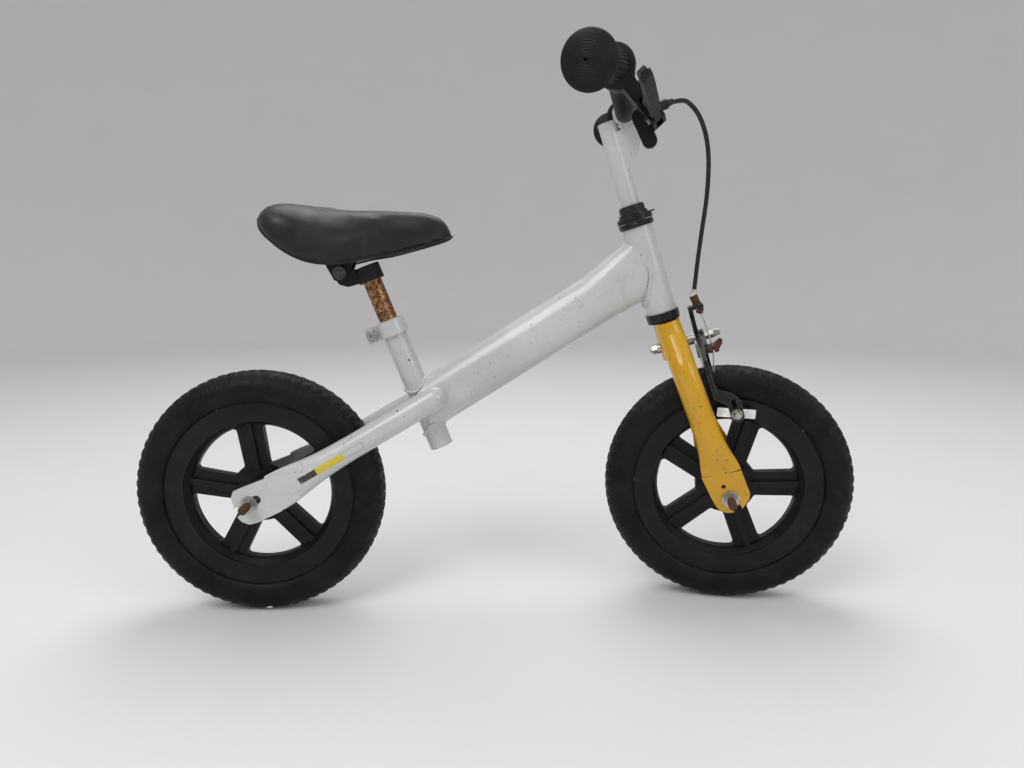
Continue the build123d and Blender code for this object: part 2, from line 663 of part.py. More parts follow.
with BuildPart() as handlebar:
    with BuildLine() as bar_line:
        FilletPolyline(*bar_places(), radius=[70, 45, 45, 45, 45, 70])
    with BuildSketch(facing(bar_places()[0], bar_places()[1] - bar_places()[0], steer.z_dir)) as bar_ring:
        Circle(BAR_RADIUS)
        Circle(BAR_RADIUS - 1.8, mode=Mode.SUBTRACT)
    sweep(bar_ring.sketch, path=bar_line.line)
handlebar.part.label = "handlebar"
export_step(handlebar.part, "parts/handlebar.step")

FLANGE_RADIUS = 28.0


def grip(side):
    """A rubber grip: ribbed sleeve, thin inner flange, and a domed safety flange over the bar's end."""
    end = point(steer, BAR_END[0], side * BAR_END[1], BAR_END[2])
    inner = point(steer, BAR_BEND[0], side * BAR_BEND[1], BAR_BEND[2])
    sleeve = facing(end, end - inner, steer.z_dir)
    with BuildPart() as piece:
        with BuildSketch(radial(sleeve)) as section:
            with BuildLine() as line:
                Polyline((BAR_RADIUS, -GRIP_LENGTH), (21.5, -GRIP_LENGTH), (22, -GRIP_LENGTH + 3),
                         (20.5, -GRIP_LENGTH + 5.5), (15.2, -GRIP_LENGTH + 7), (15.2, -9), (FLANGE_RADIUS - 2, -6),
                         (FLANGE_RADIUS, -2.5))
                ThreePointArc((FLANGE_RADIUS, -2.5), (FLANGE_RADIUS - 7.5, 4.4), (0, 8))
                Polyline((0, 8), (0, 0), (BAR_RADIUS, 0), (BAR_RADIUS, -GRIP_LENGTH))
            make_face()
        revolve(axis=axis(sleeve))
        with BuildSketch(sleeve.offset(-GRIP_LENGTH + 12)) as ribs:
            with PolarLocations(15.1, 20):
                Rectangle(1.8, 2.4)
        extrude(amount=GRIP_LENGTH - 24)
        with BuildSketch(sleeve.offset(20)) as centre_hole:
            Circle(1.5)
        extrude(amount=-30, mode=Mode.SUBTRACT)
    return piece


right_grip = grip(-1)
right_grip.part.label = "right_grip"
export_step(right_grip.part, "parts/right_grip.step")

left_grip = grip(1)
left_grip.part.label = "left_grip"
export_step(left_grip.part, "parts/left_grip.step")

# ---------------------------------------------------------------- brake lever

PIVOT = (46.0, -116.0, 205.0)
LEVER_TIP = (42.0, -206.0, 233.0)
BAR_AT_LEVER = (24.0, -122.0, 252.8)
lever_run = point(steer, *LEVER_TIP) - point(steer, *PIVOT)
lever_pull = point(steer, *BAR_AT_LEVER) - point(steer, *PIVOT)
lever = facing(point(steer, *PIVOT), lever_run.cross(lever_pull), lever_run)
LEVER_REACH = lever_run.length
bar_in_lever = lever.to_local_coords(point(steer, *BAR_AT_LEVER))

with BuildPart() as brake_lever:
    with BuildSketch(lever) as blade:
        with BuildLine() as outline:
            Polyline((-7, 3), (2, 9.5), (20, 9), (45, 3.5), (70, 2.5), (LEVER_REACH - 8, 4.5), (LEVER_REACH, 3),
                     (LEVER_REACH + 1, -3), (LEVER_REACH - 8, -6), (70, -7), (40, -7), (15, -6.5), (0, -8), (-7, -5),
                     close=True)
        make_face()
        fillet(blade.vertices(), 2.2)
    extrude(amount=3.8, both=True)
    with BuildSketch(lever) as flange:
        with BuildLine() as outline:
            Polyline((14, -3.5), (40, -4), (70, -4), (LEVER_REACH - 8, -3), (LEVER_REACH, -3), (LEVER_REACH - 8, -6),
                     (70, -7), (40, -7), (15, -6.5), close=True)
        make_face()
    extrude(amount=6.0, both=True)
    with BuildSketch(lever) as pin_hole:
        Circle(2.55)
    extrude(amount=10, both=True, mode=Mode.SUBTRACT)
brake_lever.part.label = "brake_lever"
export_step(brake_lever.part, "parts/brake_lever.step")

with BuildPart() as lever_clamp_bolt:
    with BuildSketch(forward(steer, 34, -122, 240)) as shank:
        Circle(2.5)
    extrude(amount=12)
    with BuildSketch(forward(steer, 41, -122, 240)) as head:
        Circle(4.3)
    extrude(amount=3.5)
lever_clamp_bolt.part.label = "lever_clamp_bolt"
export_step(lever_clamp_bolt.part, "parts/lever_clamp_bolt.step")

bar_way = facing(point(steer, *BAR_AT_LEVER), along(steer, 0, -1, 0.03), steer.x_dir)
CABLE_EXIT = (61.4, -100.0, 213.3)
CABLE_FIRST = (78.4, -88.0, 215.5)
exit_way = facing(point(steer, *CABLE_EXIT), point(steer, *CABLE_FIRST) - point(steer, *CABLE_EXIT), steer.z_dir)
with BuildPart() as lever_bracket:
    with BuildSketch(bar_way.offset(-8)) as band:
        Circle(16.5)
    extrude(amount=16)
    with BuildSketch(lever) as cheek:
        with BuildLine() as outline:
            Polyline((-14, -9), (6, -9), (9, 0), (bar_in_lever.X + 8, bar_in_lever.Y - 10),
                     (bar_in_lever.X - 8, bar_in_lever.Y - 10), (-14, 8), close=True)
        make_face()
        fillet(cheek.vertices().sort_by(Axis.Y)[:2], 4)
    extrude(amount=7.5, both=True)
    with BuildSketch(exit_way) as boss:
        Circle(5.2)
    extrude(amount=-22)
    with BuildSketch(right(steer, 0, -100, 0)) as lobe:
        with Locations(Location((34.5, 0, 0))):
            with Locations(Location((0, 197), 98)):
                SlotCenterToCenter(26, 15)
    extrude(amount=8)
    with BuildSketch(lever) as swing_room:
        with BuildLine() as outline:
            Polyline((-9, -20), (30, -20), (30, 19), (-9, 11), close=True)
        make_face()
    extrude(amount=4.2, both=True, mode=Mode.SUBTRACT)
    with BuildSketch(bar_way.offset(-30)) as bar_bore:
        Circle(BAR_RADIUS)
    extrude(amount=60, mode=Mode.SUBTRACT)
    add(handlebar.part, mode=Mode.SUBTRACT)
    add(lever_clamp_bolt.part, mode=Mode.SUBTRACT)
    with BuildSketch(lever) as pin_hole:
        Circle(2.5)
    extrude(amount=12, both=True, mode=Mode.SUBTRACT)
    with BuildSketch(exit_way.offset(-9)) as cable_socket:
        Circle(CABLE_DIAMETER / 2)
    extrude(amount=20, mode=Mode.SUBTRACT)
lever_bracket.part.label = "lever_bracket"
export_step(lever_bracket.part, "parts/lever_bracket.step")

with BuildPart() as lever_pivot_pin:
    with BuildSketch(lever.offset(-8.5)) as pin:
        Circle(2.5)
    extrude(amount=17)
    with BuildSketch(lever.offset(7.5)) as head:
        Circle(4.0)
    extrude(amount=2.0)
lever_pivot_pin.part.label = "lever_pivot_pin"
export_step(lever_pivot_pin.part, "parts/lever_pivot_pin.step")


# ---------------------------------------------------------------- brake cable

CABLE_ROUTE = [
    (61.4 - 9 * 0.8118, -100.0 - 9 * 0.5730, 213.3 - 9 * 0.1051),
    (78.4, -88.0, 215.5),
    (89.0, -72.0, 205.5),
    (94.5, -61.0, 192.5),
    (96.6, -50.0, 172.4),
    (93.0, -41.0, 147.0),
    (82.0, -33.5, 112.0),
    (67.0, -27.5, 77.0),
    (52.5, -24.0, 42.0),
    (39.6, -22.4, 8.8),
]


def bend_radii(places):
    """The radius at each inner corner: 0.45 of the shorter run, divided by the tangent of half the turn."""
    radii = []
    for before, corner, after in zip(places, places[1:], places[2:]):
        coming = corner - before
        going = after - corner
        half_turn = radians(coming.get_angle(going)) / 2
        radii.append(0.45 * min(coming.length, going.length) / tan(half_turn))
    return radii


cable_places = [point(steer, *place) for place in CABLE_ROUTE]
cable_radii = bend_radii(cable_places)
with BuildPart() as cable_housing:
    with BuildLine() as cable_line:
        FilletPolyline(*cable_places, radius=cable_radii)
    with BuildSketch(facing(cable_places[0], cable_places[1] - cable_places[0], steer.z_dir)) as cable_ring:
        Circle(CABLE_DIAMETER / 2)
    sweep(cable_ring.sketch, path=cable_line.line)
cable_housing.part.label = "cable_housing"
export_step(cable_housing.part, "parts/cable_housing.step")
CABLE_LENGTH = sum(edge.length for edge in cable_line.line.edges())
CABLE_SECTION = 3.14159 * CABLE_DIAMETER**2 / 4
print("cable length", round(CABLE_LENGTH, 1), "radii", [round(radius, 1) for radius in cable_radii])
print("cable volume over section times length", round(cable_housing.part.volume / CABLE_SECTION / CABLE_LENGTH, 4))

# ---------------------------------------------------------------- front brake caliper

REAR_ARM_AT = 29.5
FRONT_ARM_AT = 35.2
ARM_THICKNESS = 5.0
PLATE_INSIDE = 34.5
PAD_AHEAD = 50.0
PAD_HEIGHT = -137.0
PAD_FACE = RIM_WIDTH / 2 + 1.8
PAD_TILT = degrees(atan2(PAD_HEIGHT + AXLE_BELOW, PAD_AHEAD - AXLE_AHEAD)) - 90
ADJUSTER_TOP = (39.4, -22.4, 10.0)
ADJUSTER_FOOT = (43.3, -23.4, -15.0)
ANCHOR = (41.0, -27.0, -55.0)

with BuildPart() as caliper_bolt:
    with BuildSketch(forward(steer, -26, 0, BOLT_HEIGHT)) as rod:
        Circle(3.0)
    extrude(amount=82)
    chamfer(caliper_bolt.edges().filter_by(GeomType.CIRCLE), 0.6)
caliper_bolt.part.label = "caliper_bolt"
export_step(caliper_bolt.part, "parts/caliper_bolt.step")

with BuildPart() as caliper_spacers:
    with BuildSketch(forward(steer, 10, 0, BOLT_HEIGHT)) as front_boss:
        Circle(7.0)
        Circle(3.1, mode=Mode.SUBTRACT)
    extrude(amount=17.2)
    with BuildSketch(forward(steer, -10, 0, BOLT_HEIGHT)) as rear_boss:
        Circle(6.2)
        Circle(3.1, mode=Mode.SUBTRACT)
    extrude(amount=-7.4)
    with BuildSketch(up(steer, 0, 0, BOLT_HEIGHT - 20)) as cope:
        Circle(14.4)
    extrude(amount=40, mode=Mode.SUBTRACT)
    add(right_fork_blade.part, mode=Mode.SUBTRACT)
    add(left_fork_blade.part, mode=Mode.SUBTRACT)

with BuildPart() as caliper_nuts:
    with BuildSketch(forward(steer, -17.5, 0, BOLT_HEIGHT)) as rear_nut:
        RegularPolygon(5.8, 6)
        Circle(3.0, mode=Mode.SUBTRACT)
    extrude(amount=-6.0)
    with BuildSketch(forward(steer, 40.6, 0, BOLT_HEIGHT)) as lock_nut:
        RegularPolygon(5.8, 6)
        Circle(3.0, mode=Mode.SUBTRACT)
    extrude(amount=4.0)
    with BuildSketch(forward(steer, 45.0, 0, BOLT_HEIGHT)) as cap_nut:
        RegularPolygon(5.8, 6)
    extrude(amount=6.0)
    with BuildSketch(forward(steer, 51.0, 0, BOLT_HEIGHT)) as cap_dome:
        Circle(5.2)
    extrude(amount=8.0, taper=12)
    with BuildSketch(forward(steer, 40, 0, BOLT_HEIGHT)) as cap_bore:
        Circle(3.0)
    extrude(amount=16, mode=Mode.SUBTRACT)
    add(caliper_spacers.part)
caliper_nuts.part.label = "caliper_nuts"
export_step(caliper_nuts.part, "parts/caliper_nuts.step")


def arm_arch(side, at, reach):
    """The front plate of an arm: from the pivot eye outward over the tyre and down its flank."""
    y = side
    with BuildSketch(forward(steer, at, 0, BOLT_HEIGHT)) as plate:
        Circle(8.5)
        with BuildLine() as outline:
            Polyline((y * -4, 7.4), (y * 14, 4), (y * 30, -6), (y * 39.5, -22), (y * 40.5, -64),
                     (y * (PLATE_INSIDE), -64), (y * 29.5, -28), (y * 20, -17), (y * 4, -8), close=True)
        make_face()
        if reach is not None:
            with BuildLine() as arm:
                Polyline(*reach, close=True)
            make_face()
    extrude(plate.sketch, amount=ARM_THICKNESS)


def arm_plate(side, at):
    """The slotted side plate at the foot of an arm, which holds the brake pad."""
    with BuildSketch(right(steer, 0, side * (PLATE_INSIDE + 2.5), 0)) as plate:
        with BuildLine() as outline:
            Polyline((at, -96), (at, -112), (42.5, -124), (43.2, -142), (47, -146.5), (54, -146.5), (58, -142),
                     (58.5, -122), (52, -112), (at + ARM_THICKNESS + 3, -103), (at + ARM_THICKNESS, -96),
                     close=True)
        make_face()
        with Locations(Location((PAD_AHEAD, -129.0), 90)):
            SlotCenterToCenter(16, 6.4, mode=Mode.SUBTRACT)
    extrude(plate.sketch, amount=2.5, both=True)


adjuster_way = facing(point(steer, *ADJUSTER_TOP), point(steer, *ADJUSTER_FOOT) - point(steer, *ADJUSTER_TOP),
                      steer.x_dir)
with BuildPart() as barrel_adjuster:
    with BuildSketch(adjuster_way) as socket:
        Circle(4.6)
    extrude(amount=8)
    with BuildSketch(adjuster_way.offset(8)) as waist:
        Circle(3.2)
    extrude(amount=1.5)
    with BuildSketch(adjuster_way.offset(8.6)) as knurl:
        Circle(5.0)
        with PolarLocations(5.0, 12):
            Circle(0.5, mode=Mode.SUBTRACT)
    extrude(amount=3.0)
    with BuildSketch(adjuster_way.offset(8.0)) as screw:
        Circle(2.6)
    extrude(amount=15)
    with BuildSketch(adjuster_way.offset(17.4)) as lock_ring:
        RegularPolygon(4.6, 6)
    extrude(amount=3.6)
    with BuildSketch(adjuster_way.offset(-1)) as housing_room:
        Circle(3.6)
    extrude(amount=5.2, mode=Mode.SUBTRACT)
    with BuildSketch(adjuster_way.offset(-1)) as wire_bore:
        Circle(1.1)
    extrude(amount=30, mode=Mode.SUBTRACT)
barrel_adjuster.part.label = "barrel_adjuster"
export_step(barrel_adjuster.part, "parts/barrel_adjuster.step")

with BuildPart() as wire_anchor:
    with BuildSketch(forward(steer, FRONT_ARM_AT, ANCHOR[1], ANCHOR[2])) as shank:
        Circle(2.5)
    extrude(amount=15.5)
    with BuildSketch(forward(steer, FRONT_ARM_AT + ARM_THICKNESS, ANCHOR[1], ANCHOR[2])) as washer:
        Circle(5.6)
    extrude(amount=3.6)
    with BuildSketch(forward(steer, FRONT_ARM_AT + ARM_THICKNESS + 5.6, ANCHOR[1], ANCHOR[2])) as nut:
        Circle(6.0)
    extrude(amount=5.0)
    with BuildSketch(right(steer, 0, ANCHOR[1], 0)) as wing:
        with BuildLine() as outline:
            Polyline((46, -60.5), (49, -60.5), (56.5, -52), (57.5, -47.5), (54.5, -46), (47, -50), close=True)
        make_face()
        fillet(wing.vertices(), 1.0)
    extrude(amount=2.2, both=True)
wire_anchor.part.label = "wire_anchor"
export_step(wire_anchor.part, "parts/wire_anchor.step")

with BuildPart() as right_caliper_arm:
    arm_arch(-1, REAR_ARM_AT, [(6, 6), (-6, -2), (-18, 24), (-27, 36), (-27, 42), (-19, 42), (-10, 26)])
    arm_plate(-1, REAR_ARM_AT)
    with BuildSketch(up(steer, 38.5, -23, -6)) as adjuster_tab:
        RectangleRounded(18, 9, 2)
        with Locations((3.3, -0.2)):
            Circle(2.9, mode=Mode.SUBTRACT)
    extrude(amount=4.6)
    add(barrel_adjuster.part, mode=Mode.SUBTRACT)
    with BuildSketch(forward(steer, REAR_ARM_AT, 0, BOLT_HEIGHT)) as pivot_hole:
        Circle(3.05)
    extrude(amount=10, mode=Mode.SUBTRACT)
right_caliper_arm.part.label = "right_caliper_arm"
export_step(right_caliper_arm.part, "parts/right_caliper_arm.step")

with BuildPart() as left_caliper_arm:
    arm_arch(1, FRONT_ARM_AT, [(2, 7), (5, -5), (-20, -18), (-30, -17), (-32, -10), (-28, -6)])
    arm_plate(1, FRONT_ARM_AT)
    with BuildSketch(forward(steer, FRONT_ARM_AT, 0, BOLT_HEIGHT)) as pivot_hole:
        Circle(3.05)
        with Locations((ANCHOR[1], ANCHOR[2] - BOLT_HEIGHT)):
            Circle(2.55)
    extrude(amount=10, mode=Mode.SUBTRACT)
left_caliper_arm.part.label = "left_caliper_arm"
export_step(left_caliper_arm.part, "parts/left_caliper_arm.step")


def pad_plane(side, y):
    """A plane on the pad, facing right, with its x along the rim."""
    flat = right(steer, PAD_AHEAD, side * y, PAD_HEIGHT)
    turned_x = flat.x_dir * cos(radians(PAD_TILT)) + flat.y_dir * sin(radians(PAD_TILT))
    return Plane(flat.origin, x_dir=turned_x, z_dir=flat.z_dir)


def pad_holder(side):
    """The pressed channel that holds the rubber block, with the stud that passes through the slot."""
    with BuildPart() as piece:
        with BuildSketch(pad_plane(side, PLATE_INSIDE - 0.1)) as tray:
            RectangleRounded(44, 11, 1.5)
        extrude(amount=side * 7.0)
        with BuildSketch(pad_plane(side, PLATE_INSIDE - 3)) as pocket:
            Rectangle(42, 9)
        extrude(amount=side * 8.0, mode=Mode.SUBTRACT)
        with BuildSketch(pad_plane(side, PLATE_INSIDE - 3)) as stud:
            Circle(3.0)
        extrude(amount=-side * 14.5)
    return piece


def pad_rubber(side):
    """The rubber block, with two cross grooves on its braking face."""
    with BuildPart() as piece:
        with BuildSketch(pad_plane(side, PLATE_INSIDE - 3)) as block:
            Rectangle(42, 9)
        extrude(amount=side * (PLATE_INSIDE - 3 - PAD_FACE))
        with BuildSketch(pad_plane(side, PAD_FACE)) as grooves:
            with GridLocations(14, 0, 2, 1):
                Rectangle(1.6, 9)
        extrude(amount=-side * 1.5, mode=Mode.SUBTRACT)
    return piece


def pad_nut(side):
    """The washer and acorn nut outside the arm."""
    outside = PLATE_INSIDE + 5.05
    with BuildPart() as piece:
        with BuildSketch(pad_plane(side, outside)) as washer:
            Circle(6.4)
        extrude(amount=-side * 1.2)
        with BuildSketch(pad_plane(side, outside + 1.2)) as nut:
            RegularPolygon(5.8, 6)
        extrude(amount=-side * 4.5)
        with BuildSketch(pad_plane(side, outside + 5.7)) as dome:
            Circle(4.8)
        extrude(amount=-side * 3.2, taper=22)
        with BuildSketch(pad_plane(side, outside - 1)) as bore:
            Circle(3.0)
        extrude(amount=-side * 7.5, mode=Mode.SUBTRACT)
    return piece


for side_name, hand in (("right", -1), ("left", 1)):
    save(pad_holder(hand), f"{side_name}_pad_holder")
    save(pad_rubber(hand), f"{side_name}_brake_pad")
    save(pad_nut(hand), f"{side_name}_pad_nut")

with BuildPart() as caliper_spring:
    with BuildLine() as spring_line:
        FilletPolyline(*[point(steer, 28.2, y, z) for y, z in
                         [(-33, -74), (-24, -62), (-8, -51.5), (8, -51.5), (24, -62), (33, -74)]],
                       radius=[12, 10, 10, 12])
    spring_start = point(steer, 28.2, -33, -74)
    with BuildSketch(facing(spring_start, point(steer, 28.2, -24, -62) - spring_start, steer.x_dir)) as wire:
        Circle(0.9)
    sweep(wire.sketch, path=spring_line.line)
caliper_spring.part.label = "caliper_spring"
export_step(caliper_spring.part, "parts/caliper_spring.step")


WIRE_ROUTE = [(43.1, -23.35, -13.8), (45.0, -22.6, -46.0), (43.4, -25.6, -63.0), (40.2, -26.6, -76.0)]
wire_places = [point(steer, *place) for place in WIRE_ROUTE]
with BuildPart() as brake_wire:
    with BuildLine() as wire_line:
        FilletPolyline(*wire_places, radius=bend_radii(wire_places))
    with BuildSketch(facing(wire_places[0], wire_places[1] - wire_places[0], steer.x_dir)) as strand:
        Circle(0.75)
    sweep(strand.sketch, path=wire_line.line)
    add(wire_anchor.part, mode=Mode.SUBTRACT)
brake_wire.part.label = "brake_wire"
export_step(brake_wire.part, "parts/brake_wire.step")

wire_way = facing(wire_places[-1], wire_places[-1] - wire_places[-2], steer.x_dir)
with BuildPart() as wire_end_cap:
    with BuildSketch(wire_way) as cap:
        Circle(1.3)
    extrude(amount=7)
wire_end_cap.part.label = "wire_end_cap"
export_step(wire_end_cap.part, "parts/wire_end_cap.step")

# ---------------------------------------------------------------- seatpost and saddle

POST_LOW = 58.0
POST_TOP = 234.0
with BuildPart() as seatpost:
    with BuildSketch(up(seat, 0, 0, POST_LOW)) as ring:
        Circle(POST_RADIUS)
        Circle(POST_RADIUS - 1.8, mode=Mode.SUBTRACT)
    extrude(amount=POST_TOP - POST_LOW)
seatpost.part.label = "seatpost"
export_step(seatpost.part, "parts/seatpost.step")

TILT_BOLT = (-29.4, 0.0, 236.9)
with BuildPart() as saddle_clamp:
    with BuildSketch(up(seat, 0, 0, 216)) as collar:
        Circle(15.5)
    extrude(amount=POST_TOP - 216)
    with BuildSketch(right(seat)) as lug:
        with BuildLine() as outline:
            Polyline((0, 217), (-28, 219), (-36, 225), (-38.5, 235), (-36, 243), (-29.5, 246.4), (-22, 243.5),
                     (-12, 233.5), (0, 233.5), close=True)
        make_face()
        fillet(lug.vertices().filter_by(lambda v: v.X < -20), 3)
        with Locations((TILT_BOLT[0], TILT_BOLT[2])):
            Circle(4.05, mode=Mode.SUBTRACT)
    extrude(amount=9, both=True)
    with BuildSketch(up(seat, 0, 0, 200)) as bore:
        Circle(POST_RADIUS)
    extrude(amount=50, mode=Mode.SUBTRACT)
saddle_clamp.part.label = "saddle_clamp"
export_step(saddle_clamp.part, "parts/saddle_clamp.step")

with BuildPart() as saddle_clamp_bolt:
    with BuildSketch(right(seat, *TILT_BOLT)) as shank:
        Circle(4.0)
    extrude(amount=17.5, both=True)
    for end in (-1, 1):
        with BuildSketch(right(seat, TILT_BOLT[0], end * 14.4, TILT_BOLT[2])) as rim:
            Circle(7.6)
            Circle(5.6, mode=Mode.SUBTRACT)
        extrude(amount=-end * 3.4)
        with BuildSketch(right(seat, TILT_BOLT[0], end * 14.4, TILT_BOLT[2])) as floor:
            Circle(6.0)
        extrude(amount=-end * 1.6)
        with BuildSketch(right(seat, TILT_BOLT[0], end * 15.5, TILT_BOLT[2])) as nut:
            RegularPolygon(4.6, 6)
        extrude(amount=-end * 3.8)
saddle_clamp_bolt.part.label = "saddle_clamp_bolt"
export_step(saddle_clamp_bolt.part, "parts/saddle_clamp_bolt.step")

SADDLE_PLAN = [(19, 0), (23, 34), (36, 58), (62, 66), (95, 55), (130, 38), (170, 25), (210, 19.5), (233, 14)]
SADDLE_TIP = (241, 0)
PAN_UNDER = [(24, 318), (32, 309), (52, 293), (80, 278.5), (110, 275), (140, 280.5), (167, 284.5), (200, 292.5),
             (232, 301.5)]
PAN_THICKNESS = 8.0
PAN_UPPER = [(x, z + PAN_THICKNESS) for x, z in PAN_UNDER]
SADDLE_TOP = [(239, 317), (228, 329), (206, 334.5), (170, 333), (130, 332), (95, 335.5), (62, 343), (38, 346),
              (28, 342), (22, 334), (19, 325)]


def saddle_plan(shrink):
    """The saddle from above, drawn in by a margin: round at the back, narrow at the nose."""
    left = [(x, y - shrink) for x, y in SADDLE_PLAN[1:]]
    rightward = [(x, -y) for x, y in reversed(left)]
    with BuildSketch(Plane.XY.offset(200)) as plan:
        with BuildLine() as outline:
            Spline((SADDLE_PLAN[0][0] + shrink, 0), *left, (SADDLE_TIP[0] - shrink, 0), *rightward,
                   periodic=True)
        make_face()
    return plan.sketch


with BuildPart() as saddle_base:
    with BuildSketch(Plane.XZ) as section:
        with BuildLine() as outline:
            Spline(*PAN_UNDER)
            Line(PAN_UNDER[-1], PAN_UPPER[-1])
            Spline(*reversed(PAN_UPPER))
            Line(PAN_UPPER[0], PAN_UNDER[0])
        make_face()
    extrude(amount=80, both=True)
    extrude(saddle_plan(3.0), amount=200, mode=Mode.INTERSECT)
    bolt_place = point(seat, *TILT_BOLT)
    for end in (-1, 1):
        with BuildSketch(right(bike, 0, end * 11.8, 0)) as cheek:
            with BuildLine() as outline:
                Polyline((bolt_place.X - 10, bolt_place.Z - 2), (bolt_place.X - 7, bolt_place.Z - 8),
                         (bolt_place.X, bolt_place.Z - 10.5), (bolt_place.X + 7, bolt_place.Z - 7.5),
                         (bolt_place.X + 10, bolt_place.Z), (bolt_place.X + 18, bolt_place.Z + 17),
                         (bolt_place.X - 20, bolt_place.Z + 17), close=True)
            make_face()
            with Locations((bolt_place.X, bolt_place.Z)):
                Circle(4.05, mode=Mode.SUBTRACT)
        extrude(amount=2.3, both=True)
saddle_base.part.label = "saddle_base"
export_step(saddle_base.part, "parts/saddle_base.step")

with BuildPart() as saddle_pad:
    with BuildSketch(Plane.XZ) as section:
        with BuildLine() as outline:
            Spline(*PAN_UPPER)
            Line(PAN_UPPER[-1], SADDLE_TOP[0])
            Spline(*SADDLE_TOP)
            Line(SADDLE_TOP[-1], PAN_UPPER[0])
        make_face()
    extrude(amount=80, both=True)
    extrude(saddle_plan(0.0), amount=200, mode=Mode.INTERSECT)
saddle_pad.part.label = "saddle_pad"
export_step(saddle_pad.part, "parts/saddle_pad.step")
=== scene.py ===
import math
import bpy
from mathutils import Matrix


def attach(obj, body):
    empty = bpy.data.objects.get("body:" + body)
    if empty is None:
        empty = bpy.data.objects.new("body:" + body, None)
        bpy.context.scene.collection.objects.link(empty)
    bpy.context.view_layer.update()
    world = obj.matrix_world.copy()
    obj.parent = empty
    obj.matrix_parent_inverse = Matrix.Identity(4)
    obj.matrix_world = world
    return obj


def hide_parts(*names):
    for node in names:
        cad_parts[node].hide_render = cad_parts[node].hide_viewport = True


bl_info = {
    "name": "Balance Bike",
    "version": (1, 0, 0),
    "blender": (4, 5, 0),
    "location": "View3D > Sidebar > Balance Bike",
    "description": "Dresses a children's balance bike: paint, rust, rubber, saddle, grips and brake cable",
    "category": "Object",
}

import bpy
import numpy as np
from mathutils import Matrix, Vector

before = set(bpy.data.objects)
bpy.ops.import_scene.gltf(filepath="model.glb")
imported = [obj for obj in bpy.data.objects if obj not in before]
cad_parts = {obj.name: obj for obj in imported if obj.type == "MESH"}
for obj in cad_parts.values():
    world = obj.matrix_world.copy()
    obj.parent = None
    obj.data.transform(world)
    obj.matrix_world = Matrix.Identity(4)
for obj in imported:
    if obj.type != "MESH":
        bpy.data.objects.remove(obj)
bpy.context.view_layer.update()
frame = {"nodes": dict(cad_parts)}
MM = 0.001

# ---------------------------------------------------------------- places


def unit(v):
    """A vector at length one."""
    v = np.asarray(v, dtype=float)
    return v / np.linalg.norm(v)


def basis(origin, z_dir, near_x):
    """A place: its origin and its x, y and z directions as rows, with x as close to near_x as z allows."""
    z = unit(z_dir)
    x = unit(np.asarray(near_x, dtype=float) - z * np.dot(near_x, z))
    return np.asarray(origin, dtype=float), np.stack([x, np.cross(z, x), z])


def at(place, local):
    """Local points, in metres, carried into the row frame."""
    origin, rows = place
    return origin + np.asarray(local, dtype=float) @ rows


def turn(vector, axis, degrees):
    """A vector turned about an axis."""
    return np.array(Matrix.Rotation(math.radians(degrees), 3, Vector(axis)) @ Vector(vector))


HEAD_ANGLE = 17.6
STEER_REST = -12.3
STEER_AXIS = np.array([-math.sin(math.radians(HEAD_ANGLE)), 0, math.cos(math.radians(HEAD_ANGLE))])
STEER_AHEAD = turn((STEER_AXIS[2], 0, -STEER_AXIS[0]), STEER_AXIS, STEER_REST)
HEAD_BASE = (0.4906, 0, 0.2148)
STEER = basis(HEAD_BASE, STEER_AXIS, STEER_AHEAD)
SEAT_ANGLE = 21.0
SEAT_AXIS = (-math.sin(math.radians(SEAT_ANGLE)), 0, math.cos(math.radians(SEAT_ANGLE)))
SEAT = basis((0.2209, 0, 0.0535), SEAT_AXIS, (1, 0, 0))
MAIN_SLOPE = 31.4
MAIN_AXIS = (math.cos(math.radians(MAIN_SLOPE)), 0, math.sin(math.radians(MAIN_SLOPE)))
MAIN = basis((0.2, 0, 0.1016), MAIN_AXIS, (0, 1, 0))
REAR_HUB = basis((0, 0, 0), (0, 1, 0), (1, 0, 0))
FRONT_HUB = basis((0.575444, -0.003464, -0.000113), STEER[1][1], STEER[1][0])
BAR_END = (0.8, 240.0, 249.5)
BAR_BEND = (23.5, 155.0, 253.5)
CABLE_ROUTE = [(54.09, -105.16, 212.35), (78.4, -88, 215.5), (89, -72, 205.5), (94.5, -61, 192.5),
               (96.6, -50, 172.4), (93, -41, 147), (82, -33.5, 112), (67, -27.5, 77), (52.5, -24, 42),
               (39.6, -22.4, 8.8)]
CABLE_RADIUS = 0.0025
SPOT_RADIUS = 0.05
TREAD_BLOCKS = 72
GRIP_RIBS = 26
STAY_REAR = np.array([0.030, -0.055, 0.013])
STAY_FRONT = np.array([0.216, -0.035, 0.118])
SADDLE_PLAN = [(19, 0), (23, 34), (36, 58), (62, 66), (95, 55), (130, 38), (170, 25), (210, 19.5), (233, 14),
               (241, 0)]
PAN_UNDER = [(19, 321), (24, 318), (32, 309), (52, 293), (80, 278.5), (110, 275), (140, 280.5), (167, 284.5),
             (200, 292.5), (232, 301.5), (241, 306)]
PAN_EDGE = 0.985
WELT_IN = 0.9
SADDLE_TOP = [(19, 328), (22, 334), (28, 342), (38, 346), (62, 343), (95, 335.5), (130, 332), (170, 333),
              (206, 334.5), (228, 329), (241, 316)]

# ---------------------------------------------------------------- surfaces


